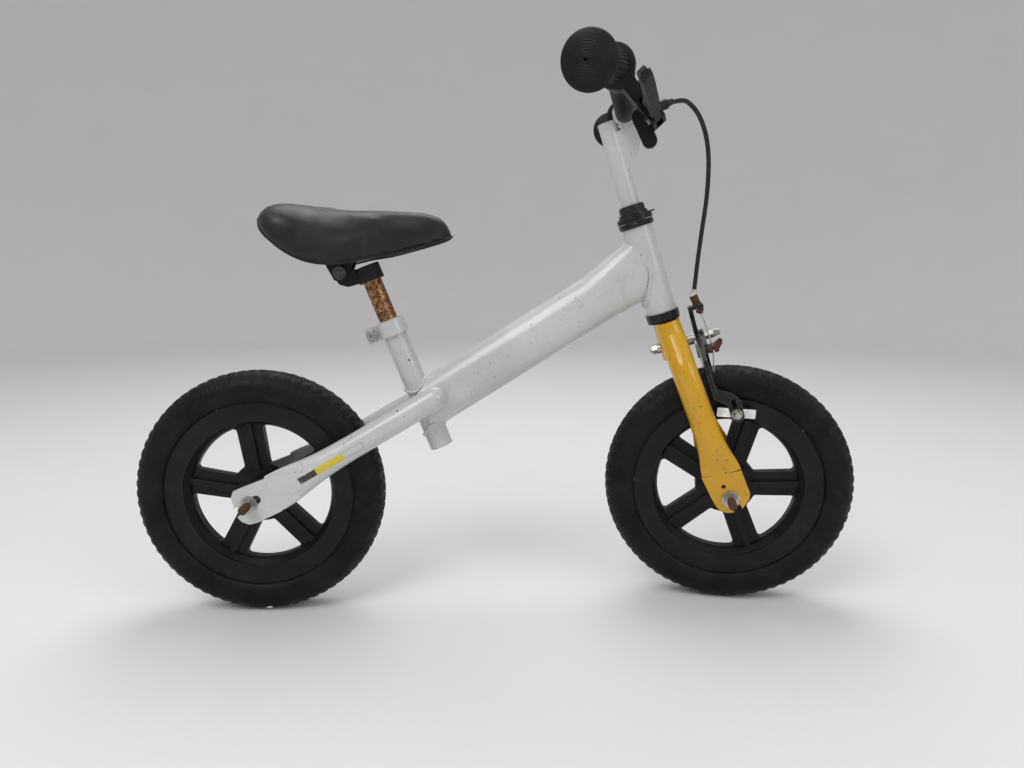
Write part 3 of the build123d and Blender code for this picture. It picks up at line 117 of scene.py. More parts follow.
def catmull(points, count, closed=False):
    """A smooth curve through points: each run is the cubic whose end slopes are half the chord between the
    neighbours, sampled at count even steps of run number."""
    p = np.asarray(points, dtype=float)
    n = len(p)
    runs = n if closed else n - 1
    t = np.linspace(0, runs, count, endpoint=not closed)
    i = np.minimum(t.astype(int), runs - 1)
    f = (t - i)[:, None]
    if closed:
        a, b, c, d = (p[(i + k) % n] for k in (-1, 0, 1, 2))
    else:
        a, b, c, d = (p[np.clip(i + k, 0, n - 1)] for k in (-1, 0, 1, 2))
    return 0.5 * (2 * b + (c - a) * f + (2 * a - 5 * b + 4 * c - d) * f**2 + (3 * b - a - 3 * c + d) * f**3)


def even(points, count):
    """The same polyline resampled to evenly spaced points."""
    p = np.asarray(points, dtype=float)
    run = np.concatenate([[0], np.cumsum(np.linalg.norm(np.diff(p, axis=0), axis=1))])
    s = np.linspace(0, run[-1], count)
    return np.stack([np.interp(s, run, p[:, k]) for k in range(p.shape[1])], axis=1)


def skin(name, grid, wrap_rows=False, wrap_columns=True, caps=False, sharp=0.7):
    """A mesh object from an array of points (rows, columns, 3): each cell is a face, both ways may wrap round,
    and caps closes the first and last rows with fans. The faces are turned so that its volume is positive."""
    rows, columns = grid.shape[:2]
    points = grid.reshape(-1, 3)
    i = np.arange(rows if wrap_rows else rows - 1)[:, None]
    j = np.arange(columns if wrap_columns else columns - 1)[None, :]
    i2, j2 = (i + 1) % rows, (j + 1) % columns
    quads = np.stack([i * columns + j, i * columns + j2, i2 * columns + j2, i2 * columns + j], axis=-1)
    quads = quads.reshape(-1, 4)
    faces = quads.tolist()
    if caps:
        k = np.arange(columns)
        k2 = (k + 1) % columns
        base = len(points)
        last = (rows - 1) * columns
        points = np.vstack([points, grid[0].mean(axis=0), grid[-1].mean(axis=0)])
        faces += np.stack([k2, k, np.full(columns, base)], axis=1).tolist()
        faces += np.stack([last + k, last + k2, np.full(columns, base + 1)], axis=1).tolist()
    corner = points[quads]
    middle = points.mean(axis=0)
    spread = np.cross(corner[:, 2] - corner[:, 0], corner[:, 3] - corner[:, 1])
    if np.einsum("ij,ij->", corner.mean(axis=1) - middle, spread) < 0:
        faces = [face[::-1] for face in faces]
    mesh = bpy.data.meshes.new(name)
    mesh.from_pydata(points.tolist(), [], faces)
    mesh.update()
    mesh.polygons.foreach_set("use_smooth", np.ones(len(mesh.polygons), dtype=bool))
    mesh.set_sharp_from_angle(angle=sharp)
    piece = bpy.data.objects.new(name, mesh)
    bpy.context.scene.collection.objects.link(piece)
    return piece


def turned(name, place, outline, steps=96, swell=None, loop=False, sharp=0.7):
    """A turned piece: the outline (radius, height), in mm, carried round the place's z axis. swell(radius,
    height, angle) gives what is added to the radius, in mm. A loop outline closes on itself; another is
    capped."""
    p = np.asarray(outline, dtype=float)
    angle = np.linspace(0, 2 * math.pi, steps, endpoint=False)[None, :]
    radius = np.repeat(p[:, :1], steps, axis=1)
    height = np.repeat(p[:, 1:], steps, axis=1)
    if swell is not None:
        radius = radius + swell(radius, height, angle)
    local = np.stack([radius * np.cos(angle), radius * np.sin(angle), height], axis=-1) * MM
    return skin(name, at(place, local), wrap_rows=loop, caps=not loop, sharp=sharp)


def bead(name, path, radius, ripples):
    """A weld bead: a round section carried along a closed path, its radius swelling with each ripple."""
    n = len(path)
    ahead = np.roll(path, -1, axis=0) - np.roll(path, 1, axis=0)
    ahead /= np.linalg.norm(ahead, axis=1)[:, None]
    out = path - path.mean(axis=0)
    side = np.cross(ahead, out)
    side /= np.linalg.norm(side, axis=1)[:, None]
    out = np.cross(side, ahead)
    angle = np.linspace(0, 2 * math.pi, 12, endpoint=False)
    swell = radius * (1 + 0.16 * np.abs(np.sin(np.arange(n) / n * math.pi * ripples)))[:, None, None]
    ring = np.cos(angle)[None, :, None] * side[:, None, :] + np.sin(angle)[None, :, None] * out[:, None, :]
    return skin(name, path[:, None, :] + ring * swell, wrap_rows=True)


def dress(piece, body, slot, material, *nodes):
    """Gives a piece its body, its finish and the nodes that it stands for; its slot is not used."""
    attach(piece, body)
    piece.data.materials.clear()
    piece.data.materials.append(material)
    if nodes:
        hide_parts(*nodes)
    return piece


def finish_node(name, material):
    """A carried-over node keeps its shape and gets a better finish."""
    piece = frame["nodes"][name]
    for spot in piece.material_slots:
        spot.material = material


# ---------------------------------------------------------------- finishes


class Finish:
    """One procedural material, put together a node at a time on Object coordinates."""

    def __init__(self, name, roughness, metallic=0.0, coat=0.0, specular=0.5):
        self.material = bpy.data.materials.new(name)
        self.material.use_nodes = True
        self.tree = self.material.node_tree
        self.shader = self.tree.nodes["Principled BSDF"]
        self.shader.inputs["Roughness"].default_value = roughness
        self.shader.inputs["Metallic"].default_value = metallic
        self.shader.inputs["Coat Weight"].default_value = coat
        self.shader.inputs["Coat Roughness"].default_value = 0.08
        self.shader.inputs["Specular IOR Level"].default_value = specular
        self.place = self.node("ShaderNodeTexCoord").outputs["Object"]
        self.normal = None

    def node(self, kind, inputs=(), **settings):
        """Adds a node, with its inputs and settings."""
        made = self.tree.nodes.new(kind)
        for key, value in settings.items():
            setattr(made, key, value)
        for key, value in dict(inputs).items():
            self.put(made.inputs[key], value)
        return made

    def put(self, socket, value):
        """Links a socket, or sets its value."""
        if isinstance(value, bpy.types.NodeSocket):
            self.tree.links.new(value, socket)
        else:
            socket.default_value = value

    def noise(self, scale, detail=4.0, rough=0.55, warp=0.0, stretch=None, tilt=(0, 0, 0)):
        """A noise field on the piece, which stretch draws out and tilt turns."""
        where = self.place
        if stretch is not None:
            turned_way = {"Vector": where, "Scale": stretch, "Rotation": tilt}
            where = self.node("ShaderNodeMapping", turned_way).outputs[0]
        return self.node("ShaderNodeTexNoise", {"Vector": where, "Scale": scale, "Detail": detail,
                                                "Roughness": rough, "Distortion": warp}).outputs["Fac"]

    def between(self, value, low, high, to_low=0.0, to_high=1.0):
        """A soft step of a value from low to high."""
        return self.node("ShaderNodeMapRange", {"Value": value, "From Min": low, "From Max": high,
                                                "To Min": to_low, "To Max": to_high},
                         interpolation_type="SMOOTHSTEP").outputs[0]

    def math(self, operation, a, b=0.0):
        """One sum of two values."""
        return self.node("ShaderNodeMath", {0: a, 1: b}, operation=operation).outputs[0]

    def mix(self, share, a, b):
        """Mixes two colours by a share."""
        made = self.node("ShaderNodeMix", data_type="RGBA")
        self.put(made.inputs[0], share)
        for index, value in ((6, a), (7, b)):
            self.put(made.inputs[index], value if isinstance(value, bpy.types.NodeSocket) else (*value, 1.0))
        return made.outputs[2]

    def dot(self, direction):
        """How far a place lies along a direction."""
        return self.node("ShaderNodeVectorMath", {0: self.place, 1: tuple(direction)},
                         operation="DOT_PRODUCT").outputs["Value"]

    def bump(self, height, strength, distance):
        """Adds a layer of relief."""
        made = self.node("ShaderNodeBump", {"Height": height, "Strength": strength, "Distance": distance})
        if self.normal is not None:
            self.put(made.inputs["Normal"], self.normal)
        self.normal = made.outputs[0]

    def edges(self, radius):
        """How worn each edge is: where the rounded normal leaves the flat one."""
        rounded = self.node("ShaderNodeBevel", {"Radius": radius}, samples=4).outputs[0]
        flat = self.node("ShaderNodeNewGeometry").outputs["Normal"]
        same = self.node("ShaderNodeVectorMath", {0: rounded, 1: flat}, operation="DOT_PRODUCT")
        return self.between(same.outputs["Value"], 0.99, 0.80)

    def done(self, colour, roughness=None):
        """Joins the colour, roughness and relief to the shader."""
        self.put(self.shader.inputs["Base Color"], colour)
        if roughness is not None:
            self.put(self.shader.inputs["Roughness"], roughness)
        if self.normal is not None:
            self.put(self.shader.inputs["Normal"], self.normal)
        return self.material


def shade(colour, factor):
    """A colour made lighter or darker."""
    return tuple(min(1.0, c * factor) for c in colour[:3])


RUST = (0.070, 0.028, 0.013)


def paint_finish(name, colour, chips, scratches, stripes=None):
    """Gloss paint: a soft tone change, grime, small chips down to rust, and fine dark scratches."""
    f = Finish(name, 0.24, coat=0.35, specular=0.4)
    tone = f.mix(f.between(f.noise(9, 3), 0.35, 0.65), shade(colour, 0.93), shade(colour, 1.05))
    if stripes is not None:
        tone = stripes(f, tone)
    dirt = f.between(f.noise(38, 7, 0.7, 0.6), 0.55, 0.78, 0.0, 0.30)
    tone = f.mix(dirt, tone, shade(colour, 0.45))
    streaks = f.between(f.noise(1.0, 2, 0.5, 0.4, (900, 900, 60), (0.3, 0.5, 0.2)), 0.70, 0.74)
    line = f.math("MULTIPLY", streaks, f.between(f.noise(22, 2), 1.0 - scratches, 1.06 - scratches))
    tone = f.mix(f.math("MULTIPLY", line, 0.8), tone, (0.10, 0.07, 0.05))
    speck = f.between(f.noise(260, 3, 0.6), 0.72 - chips, 0.75 - chips)
    patch = f.between(f.noise(30, 3, 0.6), 0.50, 0.62)
    chip = f.math("MULTIPLY", speck, patch)
    worn = f.math("MULTIPLY", f.edges(0.0011), f.between(f.noise(120, 5, 0.7), 0.50, 0.60))
    bare = f.math("MAXIMUM", chip, worn)
    tone = f.mix(bare, tone, f.mix(f.between(f.noise(500, 2), 0.4, 0.6), RUST, (0.045, 0.035, 0.03)))
    f.bump(f.noise(160, 2), 0.05, 0.0006)
    f.bump(f.math("SUBTRACT", 1.0, bare), 0.35, 0.0003)
    rough = f.math("ADD", f.between(f.noise(50, 4), 0.3, 0.7, 0.17, 0.30), f.math("MULTIPLY", bare, 0.5))
    return f.done(tone, rough)


def label_stripes(f, tone):
    """A plain label on the right stay: a dark block, a yellow block and a thin outlined block in a row."""
    run = unit(STAY_FRONT - STAY_REAR)
    across = np.array([-math.sin(math.radians(29.5)), 0, math.cos(math.radians(29.5))])
    u = f.math("SUBTRACT", f.dot(run), float(np.dot(STAY_REAR, run)))
    v = f.math("SUBTRACT", f.dot(across), float(np.dot(STAY_REAR, across)) - 0.0022)
    outer = f.math("LESS_THAN", f.math("SUBTRACT", f.dot((0, 1, 0)), f.math("MULTIPLY", u, 0.0932)), -0.058)

    def block(start, end, half):
        """One where the surface is inside a block of the label."""
        off = f.math("ABSOLUTE", f.math("SUBTRACT", u, (start + end) / 2))
        middle = f.math("LESS_THAN", off, (end - start) / 2)
        inside = f.math("MULTIPLY", middle, f.math("LESS_THAN", f.math("ABSOLUTE", v), half))
        return f.math("MULTIPLY", inside, outer)

    dash = f.math("GREATER_THAN", f.math("SINE", f.math("MULTIPLY", u, 3600.0)), -0.1)
    rim = f.math("SUBTRACT", block(0.0935, 0.1185, 0.0042), block(0.0945, 0.1172, 0.0033))
    ink = f.math("MULTIPLY", f.math("MAXIMUM", rim, 0.0), f.math("MULTIPLY", dash, 0.75))
    tone = f.mix(ink, tone, (0.05, 0.05, 0.05))
    worn = f.between(f.noise(420, 4, 0.7), 0.60, 0.64, 1.0, 0.25)
    tone = f.mix(f.math("MULTIPLY", block(0.0560, 0.0925, 0.0043), worn), tone, (0.62, 0.50, 0.03))
    return f.mix(f.math("MULTIPLY", block(0.0330, 0.0560, 0.0038), worn), tone, (0.02, 0.02, 0.022))


def plastic_finish(name, colour, roughness, grain, dust, scuffs=0.3, wear=0.0):
    """Moulded plastic, rubber or vinyl: a fine grain, soft patches of dust, scuffs and paler worn edges."""
    f = Finish(name, roughness, specular=0.22)
    tone = f.mix(f.between(f.noise(14, 4), 0.35, 0.65), shade(colour, 0.8), shade(colour, 1.25))
    film = f.between(f.noise(26, 7, 0.7, 0.5), 0.42, 0.72, 0.0, dust)
    tone = f.mix(film, tone, (0.065, 0.063, 0.061))
    scuff = f.between(f.noise(1.0, 3, 0.6, 0.8, (260, 60, 260), (0.5, 0.3, 0.9)), 0.66, 0.74, 0.0, scuffs)
    tone = f.mix(scuff, tone, (0.065, 0.063, 0.061))
    if wear > 0:
        tone = f.mix(f.math("MULTIPLY", f.edges(0.0009), wear), tone, (0.11, 0.107, 0.104))
    f.bump(f.noise(grain, 3, 0.6), 0.25, 0.0002)
    rough = f.between(f.noise(60, 5, 0.6), 0.3, 0.7, roughness - 0.07, roughness + 0.10)
    return f.done(tone, rough)


def metal_finish(name, colour, roughness, rust, worn_colour=None, metallic=1.0, specular=0.5):
    """Plated or painted metal: brushed grain, dull patches, and rust that breaks through in spots."""
    f = Finish(name, roughness, metallic=metallic, specular=specular)
    tone = f.mix(f.between(f.noise(90, 5, 0.6), 0.35, 0.65), shade(colour, 0.72), shade(colour, 1.12))
    if worn_colour is not None:
        bare = f.math("MULTIPLY", f.edges(0.0009), f.between(f.noise(200, 4, 0.7), 0.35, 0.6))
        tone = f.mix(bare, tone, worn_colour)
    spots = f.between(f.noise(230, 6, 0.72, 0.7), 0.66 - rust, 0.76 - rust)
    tone = f.mix(spots, tone, f.mix(f.between(f.noise(600, 3), 0.4, 0.6), RUST, shade(RUST, 1.7)))
    f.bump(f.noise(1.0, 2, 0.5, 0.0, (1500, 240, 1500)), 0.10, 0.0002)
    f.bump(spots, 0.3, 0.0003)
    clean = f.math("SUBTRACT", 1.0, f.math("MULTIPLY", spots, 0.85))
    f.put(f.shader.inputs["Metallic"], f.math("MULTIPLY", clean, metallic))
    return f.done(tone, f.math("ADD", f.math("MULTIPLY", spots, 0.45), roughness))


def pitted_chrome():
    """The seatpost: brown, pitted chrome in which bright copper-coloured flecks still shine."""
    f = Finish("pitted_chrome", 0.34, metallic=1.0)
    patch = f.between(f.noise(210, 6, 0.7, 1.1), 0.40, 0.60)
    tone = f.mix(patch, (0.10, 0.042, 0.018), (0.40, 0.215, 0.105))
    fleck = f.between(f.noise(430, 4, 0.7, 0.5), 0.60, 0.68)
    tone = f.mix(fleck, tone, (0.85, 0.62, 0.42))
    pit = f.between(f.noise(520, 5, 0.7), 0.36, 0.46, 1.0, 0.0)
    tone = f.mix(pit, tone, (0.03, 0.014, 0.008))
    f.bump(f.noise(430, 5, 0.7), 0.45, 0.0004)
    return f.done(tone, f.between(f.noise(300, 4), 0.3, 0.7, 0.22, 0.48))


def tyre_finish():
    """Foam tyre: deep black with dust caught on the shoulders and small nicks."""
    f = Finish("tyre_foam", 0.62, specular=0.18)
    tone = f.mix(f.between(f.noise(18, 5), 0.35, 0.65), (0.003, 0.003, 0.0033), (0.008, 0.008, 0.0085))
    dust = f.between(f.noise(45, 8, 0.72, 0.6), 0.50, 0.74, 0.0, 0.20)
    tone = f.mix(dust, tone, (0.050, 0.049, 0.047))
    nick = f.between(f.noise(320, 3, 0.6), 0.735, 0.75)
    tone = f.mix(f.math("MULTIPLY", nick, 0.5), tone, (0.20, 0.19, 0.18))
    f.bump(f.noise(650, 4, 0.6), 0.22, 0.0003)
    f.bump(f.noise(90, 4, 0.6), 0.12, 0.0010)
    return f.done(tone, f.between(f.noise(60, 4), 0.3, 0.7, 0.46, 0.66))


def vinyl_finish(colour):
    """Saddle cover: smooth black vinyl with a fine leather grain, a soft sheen, and a pale film on its upward
    faces that is partly dust and partly painted sheen of the lit top.
    """
    f = Finish("saddle_vinyl", 0.45, specular=0.38)
    f.shader.inputs["Sheen Weight"].default_value = 0.05
    f.shader.inputs["Sheen Roughness"].default_value = 0.5
    tone = f.mix(f.between(f.noise(20, 5, 0.6), 0.35, 0.68), shade(colour, 0.75), shade(colour, 1.35))
    # Painted sheen: the pale film is held to the upward faces, so the top is painted lighter as well as dusty.
    up = f.node("ShaderNodeSeparateXYZ", {0: f.node("ShaderNodeNewGeometry").outputs["Normal"]}).outputs[2]
    patches = f.between(f.noise(40, 6, 0.65, 0.4), 0.35, 0.7, 0.03, 0.22)
    film = f.math("MULTIPLY", f.between(up, 0.35, 1.0), patches)
    tone = f.mix(film, tone, (0.070, 0.066, 0.062))
    cells = f.node("ShaderNodeTexVoronoi", {"Vector": f.place, "Scale": 900.0}).outputs["Distance"]
    f.bump(cells, 0.10, 0.0003)
    f.bump(f.noise(55, 4, 0.55), 0.10, 0.0018)
    return f.done(tone, f.between(f.noise(70, 4), 0.3, 0.7, 0.37, 0.52))


# ---------------------------------------------------------------- settings


class BikeColours(bpy.types.PropertyGroup):
    """The colours a maker would change."""

    frame: bpy.props.FloatVectorProperty(name="Frame", description="Frame and stem paint", subtype="COLOR",
                                         size=3, min=0, max=1, default=(0.53, 0.54, 0.53))
    fork: bpy.props.FloatVectorProperty(name="Fork", description="Fork paint", subtype="COLOR", size=3,
                                        min=0, max=1, default=(0.62, 0.330, 0.006))
    saddle: bpy.props.FloatVectorProperty(name="Saddle", description="Saddle vinyl", subtype="COLOR", size=3,
                                          min=0, max=1, default=(0.009, 0.009, 0.010))
    wheel: bpy.props.FloatVectorProperty(name="Wheel", description="Wheel plastic", subtype="COLOR", size=3,
                                         min=0, max=1, default=(0.006, 0.006, 0.0068))
    floor: bpy.props.FloatVectorProperty(name="Floor", description="Floor", subtype="COLOR", size=3,
                                         min=0, max=1, default=(0.78, 0.77, 0.76))


class BikeSizes(bpy.types.PropertyGroup):
    """The sizes a maker would change."""

    tread_depth: bpy.props.FloatProperty(name="Tread depth", description="Height of the tread blocks",
                                         unit="LENGTH", default=0.0010, min=0.0, max=0.0015)
    shoulder_ridge: bpy.props.FloatProperty(name="Shoulder ridge", description="Height of its fine ridges",
                                            unit="LENGTH", default=0.0005, min=0.0, max=0.001)
    grip_rib: bpy.props.FloatProperty(name="Grip rib", description="Height of the ribs along the grips",
                                      unit="LENGTH", default=0.0011, min=0.0, max=0.0015)
    pad_swell: bpy.props.FloatProperty(name="Saddle swell", description="Most that the foam may swell",
                                       unit="LENGTH", default=0.003, min=0.0, max=0.008)
    voxel: bpy.props.FloatProperty(name="Saddle detail", description="Edge length of the saddle's remesh",
                                   unit="LENGTH", default=0.0045, min=0.004, max=0.006)
    weld: bpy.props.FloatProperty(name="Weld bead", description="Radius of the weld beads", unit="LENGTH",
                                  default=0.0019, min=0.001, max=0.004)


# ---------------------------------------------------------------- pieces


class BIKE_OT_frame(bpy.types.Operator):
    """Paints the frame and stem, with the label on the right stay, and lays the weld beads"""

    bl_idname = "bike.frame"
    bl_label = "Frame"

    def execute(self, context):
        colour = tuple(context.scene.bike_colours.frame)
        white = paint_finish("frame_paint", colour, 0.065, 0.52)
        for name in ("head_tube", "main_tube", "seat_tube", "left_stay", "seat_clamp", "stem"):
            finish_node(name, white)
        finish_node("right_stay", paint_finish("stay_paint", colour, 0.070, 0.48, label_stripes))
        radius = context.scene.bike_sizes.weld
        turns = np.linspace(0, 2 * math.pi, 200, endpoint=False)
        for name, path in (("seat_weld_upper", self.seat_loop(turns, 1)),
                           ("seat_weld_lower", self.seat_loop(turns, -1)),
                           ("head_weld", self.head_loop(turns))):
            dress(bead(name, path, radius, 34), "frame", "frame_paint", white)
        return {"FINISHED"}

    @staticmethod
    def seat_loop(turns, side):
        """Where the seat tube's round wall leaves the main tube's oval: each line up the wall meets the oval
        (y / a)^2 + (z / b)^2 = 1 at the root of a quadratic."""
        wall = at(SEAT, np.stack([0.0143 * np.cos(turns), 0.0143 * np.sin(turns), 0 * turns], axis=1))
        start = (wall - MAIN[0]) @ MAIN[1].T
        step = MAIN[1] @ SEAT[1][2]
        a, b = 0.021, 0.030
        qa = (step[0] / a) ** 2 + (step[1] / b) ** 2
        qb = 2 * (start[:, 0] * step[0] / a**2 + start[:, 1] * step[1] / b**2)
        qc = (start[:, 0] / a) ** 2 + (start[:, 1] / b) ** 2 - 1
        root = (-qb + side * np.sqrt(np.maximum(qb**2 - 4 * qa * qc, 0))) / (2 * qa)
        return wall + root[:, None] * SEAT[1][2]

    @staticmethod
    def head_loop(turns):
        """Where the main tube's flared oval meets the head tube's round wall: each line along the oval stops
        at the radius of the head tube, again at the root of a quadratic."""
        axis = STEER_AXIS
        oval = np.stack([0.0177 * np.cos(turns), -0.0035 + 0.0362 * np.sin(turns), 0.25 + 0 * turns], axis=1)
        start = at(MAIN, oval) - np.array(HEAD_BASE)
        flat = start - np.outer(start @ axis, axis)
        step = MAIN[1][2] - axis * np.dot(MAIN[1][2], axis)
        qa = step @ step
        qb = 2 * flat @ step
        qc = np.einsum("ij,ij->i", flat, flat) - 0.018**2
        root = (-qb - np.sqrt(np.maximum(qb**2 - 4 * qa * qc, 0))) / (2 * qa)
        return at(MAIN, oval) + root[:, None] * MAIN[1][2]


class BIKE_OT_fork(bpy.types.Operator):
    """Paints the fork and finishes the headset"""

    bl_idname = "bike.fork"
    bl_label = "Fork and headset"

    def execute(self, context):
        yellow = paint_finish("fork_paint", tuple(context.scene.bike_colours.fork), 0.105, 0.56)
        for name in ("fork_steerer", "right_fork_blade", "left_fork_blade"):
            finish_node(name, yellow)
        black = metal_finish("headset_black", (0.011, 0.011, 0.011), 0.34, -0.02, (0.15, 0.14, 0.13),
                             metallic=0.1, specular=0.3)
        for name in ("headset_cups", "crown_race", "headset_cone", "headset_washer", "headset_locknut"):
            finish_node(name, black)
        finish_node("headset_balls", metal_finish("ball_steel", (0.55, 0.55, 0.55), 0.2, -0.05))
        return {"FINISHED"}


class BIKE_OT_wheels(bpy.types.Operator):
    """Finishes the moulded wheels and makes the foam tyres and the threaded axles"""

    bl_idname = "bike.wheels"
    bl_label = "Wheels"

    def execute(self, context):
        sizes = context.scene.bike_sizes
        black = tuple(context.scene.bike_colours.wheel)
        wheel = plastic_finish("wheel_plastic", black, 0.42, 420, 0.10, 0.20, 0.35)
        rubber = tyre_finish()
        zinc = metal_finish("axle_zinc", (0.50, 0.50, 0.47), 0.36, 0.05)
        rusty = metal_finish("axle_rust", (0.085, 0.045, 0.028), 0.48, 0.20, metallic=0.7)
        for end, place in (("front", FRONT_HUB), ("rear", REAR_HUB)):
            finish_node(f"{end}_wheel", wheel)
            tyre = self.tyre(f"{end}_tyre_treaded", place, sizes.tread_depth / MM, sizes.shoulder_ridge / MM)
            dress(tyre, f"{end}_wheel", "tyre_foam", rubber, f"{end}_tyre")
            for name in ("hub_bearings", "axle_nuts", "axle_spacers"):
                finish_node(f"{end}_{name}", zinc)
            body = "frame" if end == "rear" else "front_end"
            dress(self.axle(f"{end}_axle_threaded", place), body, "zinc_steel", rusty, f"{end}_axle")
        return {"FINISHED"}

    @staticmethod
    def tyre(name, place, depth, ridge):
        """The tyre's squarish section carried round the hub. Blocks stand on the crown in three rows, 72 to a
        turn, the middle row half a block behind, and fine ridges run over each shoulder, two to a block."""
        half = [(148.95, 0), (148.7, 5), (147.9, 10), (146.4, 14.6), (143.8, 19), (139.8, 22.8), (134.5, 25.2),
                (127, 26), (120.5, 25.2), (116.4, 23.4), (113.6, 20.6), (113.3, 13.9)]
        outline = catmull(half, 34)
        outline = np.vstack([outline, outline[:0:-1] * (1, -1)])

        def swell(radius, height, angle):
            """Blocks and ridges, as soft-edged waves of the angle within bands of the height."""
            wide = np.abs(height)
            crown = radius > 140
            wave = np.sin(TREAD_BLOCKS * angle)
            middle = np.clip(0.5 - 3.0 * wave, 0, 1) * np.clip(6.0 - wide, 0, 1)
            outer = np.clip(wide - 7.4, 0, 1) * np.clip((19.0 - wide) / 2.5, 0, 1)
            outer = outer * np.clip(0.5 + 3.0 * wave, 0, 1)
            blocks = depth * (middle + outer) * crown
            band = np.clip((radius - 129.5) / 2.0, 0, 1) * np.clip((144.5 - radius) / 2.5, 0, 1)
            return blocks + ridge * band * np.clip(0.5 + 1.4 * np.sin(2 * TREAD_BLOCKS * angle), 0, 1)

        return turned(name, place, outline, 1152, swell, loop=True, sharp=1.0)

    @staticmethod
    def axle(name, place):
        """A rod whose ends are cut with thread rings, 1 mm apart."""
        thread = np.arange(52.0, 79.2, 0.5)
        radii = np.where(np.arange(len(thread)) % 2 == 0, 4.98, 4.55)
        end = np.stack([np.append(radii, [4.2, 0.01]), np.append(thread, [80.0, 80.0])], axis=1)
        return turned(name, place, np.vstack([end[::-1] * (1, -1), end]), 28, sharp=0.9)


class BIKE_OT_cockpit(bpy.types.Operator):
    """Finishes the handlebar and brake lever and makes the grips"""

    bl_idname = "bike.cockpit"
    bl_label = "Handlebar and grips"

    def execute(self, context):
        rib = context.scene.bike_sizes.grip_rib / MM
        bar = metal_finish("bar_black", (0.006, 0.006, 0.006), 0.42, -0.03, metallic=0.0, specular=0.12)
        finish_node("handlebar", bar)
        rubber = plastic_finish("grip_rubber", (0.007, 0.007, 0.0075), 0.52, 380, 0.10, 0.2)
        for name, side in (("right", -1), ("left", 1)):
            end = at(STEER, np.array([BAR_END[0], side * BAR_END[1], BAR_END[2]]) * MM)
            bend = at(STEER, np.array([BAR_BEND[0], side * BAR_BEND[1], BAR_BEND[2]]) * MM)
            grip = self.grip(f"{name}_grip_ribbed", basis(end, end - bend, STEER[1][2]), rib)
            dress(grip, "front_end", "black_rubber", rubber, f"{name}_grip")
        lever = plastic_finish("lever_plastic", (0.007, 0.007, 0.0075), 0.42, 500, 0.09, 0.20, 0.35)
        for name in ("brake_lever", "lever_bracket"):
            finish_node(name, lever)
        zinc = metal_finish("bolt_zinc", (0.50, 0.50, 0.48), 0.32, 0.02)
        for name in ("stem_expander_bolt", "stem_wedge", "stem_clamp_bolt", "lever_clamp_bolt",
                     "lever_pivot_pin"):
            finish_node(name, zinc)
        return {"FINISHED"}

    @staticmethod
    def grip(name, place, rib):
        """The grip's outline carried round the bar's end: a domed flange with fine rings that fall with the
        radius, ribs along the sleeve, and a thin inner flange."""
        r = np.linspace(2.2, 26.6, 74)
        dome = np.stack([r, 7.9 - 8.4 * (r / 28) ** 2.6 + 0.22 * np.sin(2 * math.pi * r / 2.35)], axis=1)
        rim = catmull([(26.6, 0.3), (27.7, -1.2), (28, -2.9), (27.6, -4.6), (26, -6.2), (21, -8.0),
                       (17.2, -9.2), (15.4, -11)], 22)
        sleeve = np.stack([np.full(30, 15.2), np.linspace(-12, -73.5, 30)], axis=1)
        flange = catmull([(15.4, -75), (18, -76), (20.6, -76.8), (21.9, -78.6), (21.6, -80.8), (20, -82),
                          (12, -82)], 20)
        outline = np.vstack([[(0.02, 4.0), (1.5, 4.3), (1.7, 7.6)], dome, rim[1:], sleeve, flange,
                             [(11.12, -81.5), (0.02, -81.5)]])
        outline[:, 0] = np.interp(outline[:, 0], [0, 15.4, 28], [0, 15.4, 25.4])

        def swell(radius, height, angle):
            """Ribs: a soft square wave of the angle, faded out near both flanges."""
            fade = np.clip((-12.5 - height) / 2, 0, 1) * np.clip((height + 73) / 2, 0, 1) * (radius < 15.3)
            return rib * fade * np.clip(0.5 + 1.6 * np.sin(GRIP_RIBS * angle), 0, 1)

        return turned(name, place, outline, 312, swell, sharp=0.9)


